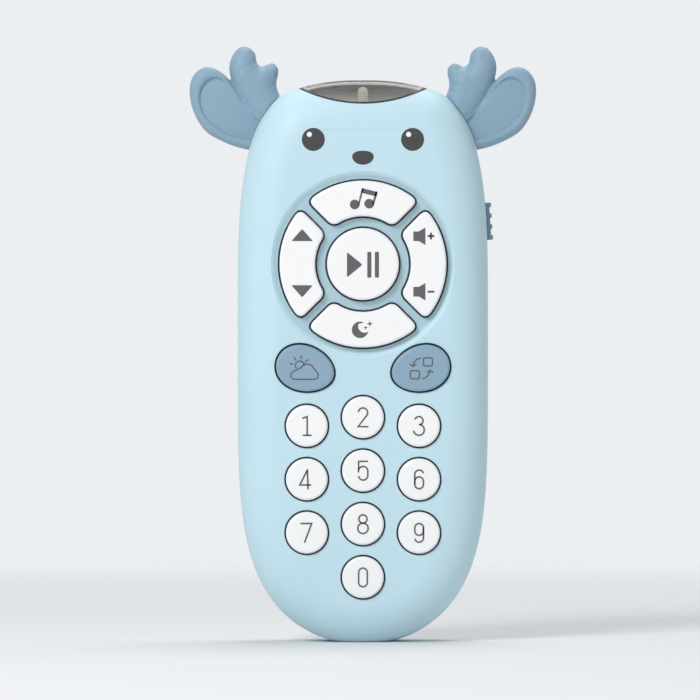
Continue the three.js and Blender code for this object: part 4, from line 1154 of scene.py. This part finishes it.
def ring_prints():
    """Filled shapes on each ring key, in millimetres about the ring's middle."""
    beam = [(-0.3, 21.1), (4.1, 20.0), (3.82, 18.72), (-0.6, 19.82)]
    note = [
        circle_outline(1.36, (-2.29, 16.53), 24),
        circle_outline(1.36, (1.75, 16.75), 24),
        [(-1.45, 16.4), (-0.93, 16.5), (0.22, 21.0), (-0.3, 21.1)],
        [(2.5, 16.5), (3.1, 16.6), (4.12, 20.05), (3.5, 20.2)],
        rounded(beam, 0.25),
    ]
    return {
        "play_key": [
            rounded([(-4.45, -3.75), (-0.1, -0.2), (-4.45, 3.35)], 0.55),
            rectangle(1.2, -3.8, 2.35, 3.4, 0.35),
            rectangle(3.3, -3.8, 4.45, 3.4, 0.35),
        ],
        "music_key": note,
        "night_key": [moon(-0.8, -18.3), star(0.75, -17.7, 0.62), star(1.9, -16.6, 0.85)],
        "track_key": [
            rounded([(-19.9, 6.35), (-13.9, 6.35), (-16.9, 9.75)], 0.4),
            rounded([(-19.9, -5.9), (-16.9, -9.3), (-13.9, -5.9)], 0.4),
        ],
        "volume_key": [
            speaker_shape(15.65, 7.7), speaker_shape(15.65, -7.7),
            rectangle(17.95, 7.45, 19.85, 8.05, 0.1), rectangle(18.6, 6.8, 19.2, 8.7, 0.1),
            rectangle(17.95, -8.0, 19.85, -7.4, 0.1),
        ],
    }


class PHONE_OT_keys(bpy.types.Operator):
    """Builds the ring keys, the function keys and the digit keys, each with its print"""
    bl_idname = "toy_phone.keys"
    bl_label = "Keys"

    def execute(self, context):
        sizes = context.scene.phone_sizes
        for name in ALL_KEYS:
            slot, finish = ("key_blue", "blue_key") if name in EGGS else ("key_white", "white_key")
            stand_for(smooth(key_cap(sizes, name)), name, slot, FINISHES[finish], name)
            stand_for(self.key_print(sizes.print_height, name), name, slot, FINISHES["ink"])
        return {"FINISHED"}

    @staticmethod
    def key_print(height, name):
        surface, centre = KEY_TOP_Y + 2 * height, middle(name)
        label, place = name.replace("_key", "_print"), (centre.x, centre.z)
        if name in DIGIT_KEYS:
            return line_art(label, digit_strokes(int(name[-1])), place, 0.46 * MM, surface, height)
        if name in EGGS:
            strokes = cloud_and_sun() if name == "weather_key" else swap_boxes()
            return line_art(label, strokes, place, 0.36 * MM, surface, height)
        outlines = [in_place(outline, (0, RING_Z)) for outline in ring_prints()[name]]
        return printed(label, outlines, surface, height)


class PHONE_OT_face(bpy.types.Operator):
    """Prints the deer's eyes and nose on the front shell"""
    bl_idname = "toy_phone.face"
    bl_label = "Face Print"

    def execute(self, context):
        height = context.scene.phone_sizes.print_height
        eye_x, eye_z, eye_radius = 13.8 * MM, 140.05 * MM, 3.2 * MM
        glint_x, glint_z, glint_radius = -1.1 * MM, 1.4 * MM, 0.72 * MM
        eyes = [circle_outline(eye_radius, (x, eye_z), 56) for x in (-eye_x, eye_x)]
        glints = [circle_outline(glint_radius, (x + glint_x, eye_z + glint_z), 24) for x in (-eye_x, eye_x)]
        dark, white = FINISHES["face_ink"], FINISHES["white_ink"]
        stand_for(printed("eyes_print", eyes, FACE_Y, height), "phone", "shell_blue", dark)
        stand_for(printed("eye_glints", glints, FACE_Y - height, height), "phone", "key_white", white)
        stand_for(printed("nose_print", [self.nose()], FACE_Y, height), "phone", "shell_blue", dark)
        return {"FINISHED"}

    @staticmethod
    def nose(steps=48):
        """A nose that is flatter and squarer above its widest line than below it."""
        half_width, middle_z = 3.0, 135.35
        outline = []
        for i in range(steps):
            a = 2 * pi * i / steps
            rise, power = (1.55, 0.8) if sin(a) > 0 else (2.35, 1.0)
            x = half_width * abs(cos(a)) ** power * (1 if cos(a) > 0 else -1)
            outline.append((x * MM, (middle_z + rise * sin(a)) * MM))
        return outline


# ---------------------------------------------------------------- the soft ears

EAR_LEAF = [(26, 136), (31.9, 137.5), (35.5, 138.4), (39.5, 140), (43.5, 142.3), (46.1, 145.5),
            (47.9, 149.7), (48.5, 153.7), (48.1, 156.9), (46.5, 159.4), (44, 160.7), (41.3, 160.2),
            (38.6, 158.4), (36, 155.5), (31.5, 149.5), (24, 146), (21, 141)]
EAR_HOLLOW = [(27.5, 140.6), (31.6, 140.3), (38.0, 141.9), (43.9, 146.6), (45.6, 151.5), (44.6, 155.6),
              (41.7, 157.6), (38.8, 156.6), (35.2, 152.6), (30.5, 146.9), (27, 143.9)]
ANTLER_LEAF = [(30.5, 145.5), (35.4, 153.5), (37.4, 159.5), (36.9, 163.2), (34.9, 166), (32.4, 166.45),
               (30.2, 164.6), (29.6, 161.8), (28.2, 160.8), (26.4, 161.7), (24.3, 161.6), (23.6, 159.4),
               (24.1, 155.4), (22.6, 150), (24, 144)]


def soft_outline(points, side, spacing=0.7):
    """A smooth closed outline through points, mirrored for the left ear."""
    count, loop = len(points), []
    for i in range(count):
        before, here, ahead, beyond = (Vector(points[(i + k) % count]) for k in (-1, 0, 1, 2))
        steps = max(2, round((ahead - here).length / spacing))
        for k in range(steps):
            t = k / steps
            place = (2 * here + (ahead - before) * t + (2 * before - 5 * here + 4 * ahead - beyond) * t ** 2
                     + (3 * here - 3 * ahead + beyond - before) * t ** 3) / 2
            loop.append((side * place.x * MM, place.y * MM))
    return loop if side > 0 else loop[::-1]


def ball(name, place, radii):
    bm = bmesh.new()
    bmesh.ops.create_uvsphere(bm, u_segments=64, v_segments=40, radius=1)
    bmesh.ops.scale(bm, vec=radii, verts=bm.verts)
    bmesh.ops.translate(bm, vec=place, verts=bm.verts)
    return finished(bm, name)


def room_round(point, outline):
    """How far a point is inside an outline, or nought where it is outside."""
    x, z = point
    inside, nearest = False, 1.0
    for (x0, z0), (x1, z1) in zip(outline, outline[1:] + outline[:1]):
        if (z0 > z) != (z1 > z) and x < x0 + (z - z0) / (z1 - z0) * (x1 - x0):
            inside = not inside
        run = (x1 - x0) ** 2 + (z1 - z0) ** 2
        t = min(1, max(0, ((x - x0) * (x1 - x0) + (z - z0) * (z1 - z0)) / run))
        nearest = min(nearest, hypot(x - x0 - t * (x1 - x0), z - z0 - t * (z1 - z0)))
    return nearest if inside else 0


def plump(name, outline, most, spacing=0.8 * MM, least=1.3 * MM, step=0.04 * MM):
    """Balls that fill an outline, each as big as fits: one plump form once they get a single skin."""
    xs, zs = [p[0] for p in outline], [p[1] for p in outline]
    balls = []
    for i in range(int((max(xs) - min(xs)) / spacing) + 1):
        for k in range(int((max(zs) - min(zs)) / spacing) + 1):
            point = min(xs) + i * spacing, min(zs) + k * spacing
            room = min(most, room_round(point, outline))
            if room > least:
                balls.append((room, point))
    balls.sort(reverse=True)
    kept = []
    for room, point in balls:
        if not any(hypot(point[0] - p[0], point[1] - p[1]) + room < r + step for r, p in kept):
            kept.append((room, point))
    bm = bmesh.new()
    for room, (x, z) in kept:
        bmesh.ops.create_icosphere(bm, subdivisions=3, radius=room, matrix=Matrix.Translation((x, 0, z)))
    return finished(bm, name)


def remeshed(piece, voxel, relax):
    """One even skin over everything in a piece."""
    step = piece.modifiers.new("Skin", "REMESH")
    step.mode = "VOXEL"
    step.voxel_size = voxel
    step.use_smooth_shade = True
    bake_modifiers(piece)
    step = piece.modifiers.new("Relax", "SMOOTH")
    step.factor = 0.5
    step.iterations = relax
    return bake_modifiers(piece)


def soft_ear(sizes, side):
    """An ear with a rounded rim round a domed pad, and its antler, on a bar through the wall."""
    name = "left_soft_ear" if side < 0 else "right_soft_ear"
    half, edge, pocket_depth, groove, lip = 3.5 * MM, 2.4 * MM, 1.3 * MM, 0.4 * MM, 0.8 * MM
    ear = plate(name, soft_outline(EAR_LEAF, side), -half, half, edge, 7)
    hollow = soft_outline(EAR_HOLLOW, side)
    opening = front_roll(-half, -lip, lip, 5)
    cut(ear, loft("pocket", hollow, [(0, pocket_depth - half), *opening, (-lip, -half - 2 * MM)]))
    pad = plate("pad", moved_in(hollow, groove), -4 * MM, 0)
    shared(pad, ball("dome", (side * 38.4 * MM, 0, 148.8 * MM), (14 * MM, 3.1 * MM, 14 * MM)))
    antler = plump("antler", soft_outline(ANTLER_LEAF, side), 4.3 * MM)
    ear = one_mesh(name, [ear, pad, antler, ear_neck("neck", side, 12 * MM, 9 * MM, 4.6 * MM)])
    remeshed(ear, 0.25 * MM, 3)
    return cut(ear, body_form(sizes, "outside", -0.25 * MM))


class PHONE_OT_ears(bpy.types.Operator):
    """Builds the two soft ears with their antlers"""
    bl_idname = "toy_phone.ears"
    bl_label = "Soft Ears"

    def execute(self, context):
        sizes = context.scene.phone_sizes
        for side, node in ((-1, "left_ear"), (1, "right_ear")):
            ear = smooth(soft_ear(sizes, side), 60)
            stand_for(ear, "phone", "ear_silicone", FINISHES["ear"], node)
        return {"FINISHED"}


# ---------------------------------------------------------------- crown window, lamp and slide


class PHONE_OT_crown_window(bpy.types.Operator):
    """Builds the smoked crown window, the reflector under it and the lamp"""
    bl_idname = "toy_phone.crown_window"
    bl_label = "Crown Window"

    def execute(self, context):
        sizes = context.scene.phone_sizes
        lens = shared(body_form(sizes, "crown_window"), crown_bite(-0.6 * MM))
        cut(lens, body_form(sizes, "inside", LENS_WALL))
        stand_for(smooth(lens), "phone", "window_smoke", FINISHES["window"], "window_lens")
        # A black band in the gap under the window: painted shade that stands in for the shadow in that gap.
        gap_shade_band = shared(body_form(sizes, "window_gap_shade", 0.12 * MM), crown_bite(-0.06 * MM))
        cut(gap_shade_band, crown_bite(-0.54 * MM), body_form(sizes, "inside", 2 * MM))
        stand_for(smooth(gap_shade_band), "phone", "part_black", FINISHES["black"])
        self.add_reflector(sizes)
        self.add_lamp()
        return {"FINISHED"}

    @staticmethod
    def add_reflector(sizes):
        """A curved floor under the lamp, with a low wall standing behind it."""
        wall_front, wall = 1.2 * MM, 1.2 * MM
        floor = shared(body_form(sizes, "light_tray", 3.7 * MM), crown_bite(1.1 * MM))
        cut(floor, crown_bite())
        screen = plate("screen", bite_outline(0.5 * MM), wall_front, wall_front + wall)
        shared(screen, body_form(sizes, "under_window", LENS_WALL + 0.015 * MM))
        joined(floor, screen)
        middle_z, half, radius = 150 * MM, 5 * MM, LAMP_FLANGE + 0.3 * MM
        bar = [(0, -half), (radius, -half), (radius, half), (0, half)]
        cut(floor, turned("lamp_hole", bar, (middle("led").x, LAMP_Y, middle_z), "Z"))
        stand_for(smooth(floor), "phone", "reflector_grey", FINISHES["reflector"], "led_reflector")

    @staticmethod
    def add_lamp():
        """A round-headed lamp on a flange, and its two legs."""
        lamp_low, lamp_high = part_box("led")
        radius, base = 1.5 * MM, lamp_high.z - 5.8 * MM
        shoulder = lamp_high.z - radius
        profile = [(0, base), (LAMP_FLANGE, base), (LAMP_FLANGE, base + 0.9 * MM), (radius, base + 1 * MM)]
        profile += [*arc(0, shoulder, radius, 0, 90, 10)[:-1], (0, lamp_high.z)]
        bulb = turned("lamp", profile, (0, LAMP_Y, 0), "Z", 40)
        stand_for(smooth(bulb), "phone", "lamp_clear", FINISHES["epoxy"], "led")
        half, foot, head = 0.25 * MM, lamp_low.z, base + 0.6 * MM
        legs = [brick("leg", (x - half, LAMP_Y - half, foot), (x + half, LAMP_Y + half, head), 0.08 * MM)
                for x in (-1.27 * MM, 1.27 * MM)]
        stand_for(smooth(one_mesh("lamp_legs", legs)), "phone", "contact_metal", FINISHES["nickel"])


class PHONE_OT_power_slide(bpy.types.Operator):
    """Builds the ribbed power slide"""
    bl_idname = "toy_phone.power_slide"
    bl_label = "Power Slide"

    def execute(self, context):
        half, half_length, proud = 2.3 * MM, 5.2 * MM, 1.1 * MM
        rib_pitch, rib_half, rib_proud = 3.03 * MM, 0.65 * MM, 0.5 * MM
        knob = brick("slide_knob", (-3 * MM, -half, -half_length), (proud, half, half_length), 0.35 * MM)
        ribs = []
        for i in range(4):
            z = (i - 1.5) * rib_pitch
            ribs.append(brick("rib", (0.3 * MM, -half, z - rib_half), (proud + rib_proud, half, z + rib_half),
                              0.3 * MM))
        flange = brick("flange", (-3.4 * MM, -3.5 * MM, -8.4 * MM), (-2.5 * MM, 3.5 * MM, 7.6 * MM), 0.2 * MM)
        prongs = [brick("prong", (-6.7 * MM, -1.4 * MM, z), (-3 * MM, 1.4 * MM, z + 1.2 * MM), 0.15 * MM)
                  for z in (1.3 * MM, -2.5 * MM)]
        joined(knob, *ribs, flange, *prongs)
        moved(knob, slide_frame())
        stand_for(smooth(knob), "power_slide", "key_blue", FINISHES["slide"], "power_knob")
        return {"FINISHED"}


# ---------------------------------------------------------------- screws, cells and contacts


def pan_screw(name, node, shank, head, head_height, body):
    """A pan-head screw with a cross recess and a pointed end, in a node's place."""
    tip, top, centre = low(node).y, high(node).y, middle(node)
    seat, root, pitch = top - head_height, shank * 0.8, 0.6 * MM
    angles = [pi / 2 * i / 6 for i in range(6)]
    dome = [(head * cos(a), seat + head_height * 0.35 + head_height * 0.65 * sin(a)) for a in angles]
    threads = []
    y = tip + shank
    while y < seat - pitch:
        threads += [(root, y), (shank, y + pitch / 2)]
        y += pitch
    profile = [(0, tip), *threads, (root, seat - 0.1 * MM), (shank, seat), (head, seat), *dome, (0, top)]
    screw = turned(name, profile, (centre.x, 0, centre.z), "Y", 32)
    arm, blade, deep = head * 0.55, head * 0.15, head_height * 0.6
    past = top + 1 * MM
    cut(screw, *[brick("cross", (centre.x - a, top - deep, centre.z - b), (centre.x + a, past, centre.z + b))
                 for a, b in ((arm, blade), (blade, arm))])
    stand_for(smooth(screw, 40), body, "screw_steel", FINISHES["steel"], node)


class PHONE_OT_screws(bpy.types.Operator):
    """Builds the case screws, the board screws and the battery door's screw"""
    bl_idname = "toy_phone.screws"
    bl_label = "Screws"

    def execute(self, context):
        for node in CASE_SCREWS:
            pan_screw(node.replace("screw", "pan_screw"), node, 1.2 * MM, 2.4 * MM, 1.8 * MM, "phone")
        for node in BOARD_SCREWS:
            pan_screw(node.replace("screw", "pan_screw"), node, 0.85 * MM, 1.9 * MM, 1.2 * MM, "phone")
        pan_screw("door_pan_screw", "door_screw", 1.1 * MM, 2.3 * MM, DOOR_SCREW_HEAD, "door_screw")
        return {"FINISHED"}


class PHONE_OT_cells(bpy.types.Operator):
    """Builds the three cells, their springs and their contact plates"""
    bl_idname = "toy_phone.cells"
    bl_label = "Cells and Contacts"

    def execute(self, context):
        for i in CELLS:
            up = 1 if middle(f"contact_plate_{i}").z > middle(f"contact_spring_{i}").z else -1
            self.add_cell(i, up)
            self.add_spring(i, up)
            self.add_plate(i)
        return {"FINISHED"}

    @staticmethod
    def add_cell(i, up):
        """A cell with its nub up, or down where up is negative."""
        node = f"battery_{i}"
        (cell_low, cell_high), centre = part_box(node), middle(node)
        r, tall = (cell_high.x - cell_low.x) / 2, cell_high.z - cell_low.z
        nub, nub_height, crimp, ease = 1.9 * MM, 0.8 * MM, 0.5 * MM, 0.25 * MM
        body = tall - nub_height
        sunk = body - 0.2 * MM
        dished = 0.15 * MM
        profile = [(0, dished), (r - 1.1 * MM, dished), (r - 1 * MM, 0), (r - 0.4 * MM, 0), (r, 0.4 * MM)]
        profile += arc(r - crimp, body - crimp, crimp, 0, 90, 3)
        profile += [(r - 1 * MM, body), (r - 1.2 * MM, sunk), (nub + 0.4 * MM, sunk), (nub, body),
                    (nub, tall - ease), (nub - ease, tall), (0, tall)]
        base = cell_low.z if up > 0 else cell_high.z
        cell = turned(f"cell_{i}", [(x, up * z) for x, z in profile], (centre.x, centre.y, base), "Z", 64)
        stand_for(smooth(cell, 40), "phone", "cell_jacket", FINISHES["jacket"], node)

    @staticmethod
    def add_spring(i, up):
        """A coned spring, wide at the wall and narrow at the cell."""
        node = f"contact_spring_{i}"
        (spring_low, spring_high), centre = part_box(node), middle(node)
        wire, wide, narrow, turns, steps = 0.3 * MM, 3.2 * MM, 2.2 * MM, 3.5, 84
        tall = spring_high.z - spring_low.z - 2 * wire
        points = []
        for k in range(steps + 1):
            t = k / steps
            x, y = polar(wide + (narrow - wide) * t, turns * 2 * pi * t)
            z = wire + tall * t
            points.append((centre.x + x, centre.y + y, spring_low.z + z if up > 0 else spring_high.z - z))
        spring = smooth(rod(f"spring_{i}", points, wire), 60)
        stand_for(spring, "phone", "contact_metal", FINISHES["nickel"], node)

    @staticmethod
    def add_plate(i):
        node = f"contact_plate_{i}"
        tab = smooth(brick(f"tab_{i}", *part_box(node), 0.12 * MM))
        stand_for(tab, "phone", "contact_metal", FINISHES["nickel"], node)


class PHONE_OT_inside(bpy.types.Operator):
    """Gives the hidden works their finishes"""
    bl_idname = "toy_phone.inside"
    bl_label = "Inside Works"

    def execute(self, context):
        nodes_of = {
            "keypad": ["key_membrane"], "board": ["main_board"],
            "black": ["sound_chip", "capacitor", "switch_box", "switch_lever"],
            "basket_steel": ["speaker_basket"], "paper": ["speaker_cone"], "magnet": ["speaker_magnet"],
            "red_wire": ["speaker_lead_red", "battery_lead_red"],
            "black_wire": ["speaker_lead_black", "battery_lead_black"],
        }
        for finish, nodes in nodes_of.items():
            for node in nodes:
                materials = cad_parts[node].data.materials
                materials.clear()
                materials.append(FINISHES[finish])
        return {"FINISHED"}


# ---------------------------------------------------------------- stage


def studio_paper(shade, glow):
    """Pale paper that takes shadows near the phone and turns into one even shade further off."""
    finish = Finish("Studio paper", Roughness=0.85)
    fibres = finish.grain(0.02, 2)
    finish.set("Base Color", finish.blend(fibres, shade_of(shade, 0.99), shade_of(shade, 1.01)))
    far = finish.add("ShaderNodeVectorMath", {"operation": "LENGTH"}, [finish.place], "Value")
    fade_starts, fade_ends = 0.16, 0.75
    share = finish.add("ShaderNodeMapRange", {"interpolation_type": "SMOOTHSTEP"},
                       {"Value": far, "From Min": fade_starts, "From Max": fade_ends})
    shine = finish.add("ShaderNodeEmission", None, {"Color": (*glow, 1)})
    surface = Signal(finish, finish.shader.outputs[0])
    mixed = finish.add("ShaderNodeMixShader", None, [finish.seen_directly() * share, surface, shine])
    finish.feed(finish.tree.nodes["Material Output"].inputs["Surface"], mixed)
    return finish.material


def studio_air(glow, light, strength):
    """A world that lights softly, and shows the paper's even shade where it is seen."""
    world = bpy.data.worlds.new("Studio air")
    world.use_nodes = True
    air = Nodes(world.node_tree)
    soft = air.tree.nodes["Background"]
    air.feed(soft.inputs["Color"], (*light, 1))
    air.feed(soft.inputs["Strength"], strength)
    shown = air.add("ShaderNodeBackground", None, {"Color": (*glow, 1)})
    mixed = air.add("ShaderNodeMixShader", None, [air.seen_directly(), Signal(air, soft.outputs[0]), shown])
    air.feed(air.tree.nodes["World Output"].inputs["Surface"], mixed)
    return world


def soft_lamp(name, place, target, size, power):
    """A round soft lamp at a place, turned to a target."""
    light = bpy.data.lights.new(name, "AREA")
    light.shape = "DISK"
    light.size = size
    light.energy = power
    lamp = bpy.data.objects.new(name, light)
    lamp.location = place
    lamp.rotation_euler = (Vector(target) - Vector(place)).to_track_quat("-Z", "Y").to_euler()
    bpy.context.scene.collection.objects.link(lamp)


class PHONE_OT_stage(bpy.types.Operator):
    """Sets the floor, the air, the lamps and the camera"""
    bl_idname = "toy_phone.stage"
    bl_label = "Stage"

    def execute(self, context):
        scene = context.scene
        glow = (0.84, 0.86, 0.88)
        bm = bmesh.new()
        bmesh.ops.create_circle(bm, cap_ends=True, radius=4, segments=96)
        floor = finished(bm, "studio_floor")
        floor.data.materials.append(studio_paper((0.8, 0.81, 0.82), glow))
        target = (0, 0, 80 * MM)
        soft_lamp("key_lamp", (-0.55, -0.9, 0.75), target, 0.5, 8.3)
        soft_lamp("fill_lamp", (0.9, -0.9, 0.35), target, 0.8, 0.9)
        soft_lamp("top_lamp", (0.1, 0.25, 1.0), target, 0.6, 3.8)
        scene.world = studio_air(glow, (0.95, 0.97, 1), 0.38)
        scene.view_settings.view_transform = "Standard"
        self.add_camera(scene)
        return {"FINISHED"}

    @staticmethod
    def add_camera(scene):
        camera = bpy.data.cameras.new("Studio camera")
        camera.lens = 350
        camera.sensor_width = 36
        distance = 196 * MM * camera.lens / camera.sensor_width
        eye = bpy.data.objects.new("Studio camera", camera)
        eye.location = (-3.6 * MM, -distance, 81.5 * MM)
        eye.rotation_euler = (pi / 2, 0, 0)
        scene.collection.objects.link(eye)
        scene.camera = eye


class PHONE_PT_panel(bpy.types.Panel):
    """Lists the phone's sizes, finishes and pieces"""
    bl_idname = "PHONE_PT_panel"
    bl_label = "Toy Phone"
    bl_space_type = "VIEW_3D"
    bl_region_type = "UI"
    bl_category = "Toy Phone"

    def draw(self, context):
        for group in (context.scene.phone_sizes, context.scene.phone_finishes):
            for name in group.bl_rna.properties.keys():
                if name not in ("name", "rna_type"):
                    self.layout.prop(group, name)
        for operator in OPERATORS:
            self.layout.operator(operator.bl_idname)


OPERATORS = (
    PHONE_OT_stage, PHONE_OT_front_shell, PHONE_OT_rear_shell, PHONE_OT_battery_door, PHONE_OT_keys,
    PHONE_OT_face, PHONE_OT_ears, PHONE_OT_crown_window, PHONE_OT_power_slide, PHONE_OT_screws,
    PHONE_OT_cells, PHONE_OT_inside,
)
CLASSES = (PhoneSizes, PhoneFinishes, *OPERATORS, PHONE_PT_panel)


def register():
    for item in CLASSES:
        bpy.utils.register_class(item)
    bpy.types.Scene.phone_sizes = PointerProperty(type=PhoneSizes)
    bpy.types.Scene.phone_finishes = PointerProperty(type=PhoneFinishes)


def unregister():
    del bpy.types.Scene.phone_finishes
    del bpy.types.Scene.phone_sizes
    for item in reversed(CLASSES):
        bpy.utils.unregister_class(item)


def main():
    register()
    make_finishes(bpy.context)
    for operator in OPERATORS:
        group, name = operator.bl_idname.split(".")
        getattr(getattr(bpy.ops, group), name)()


if __name__ == "__main__":
    main()
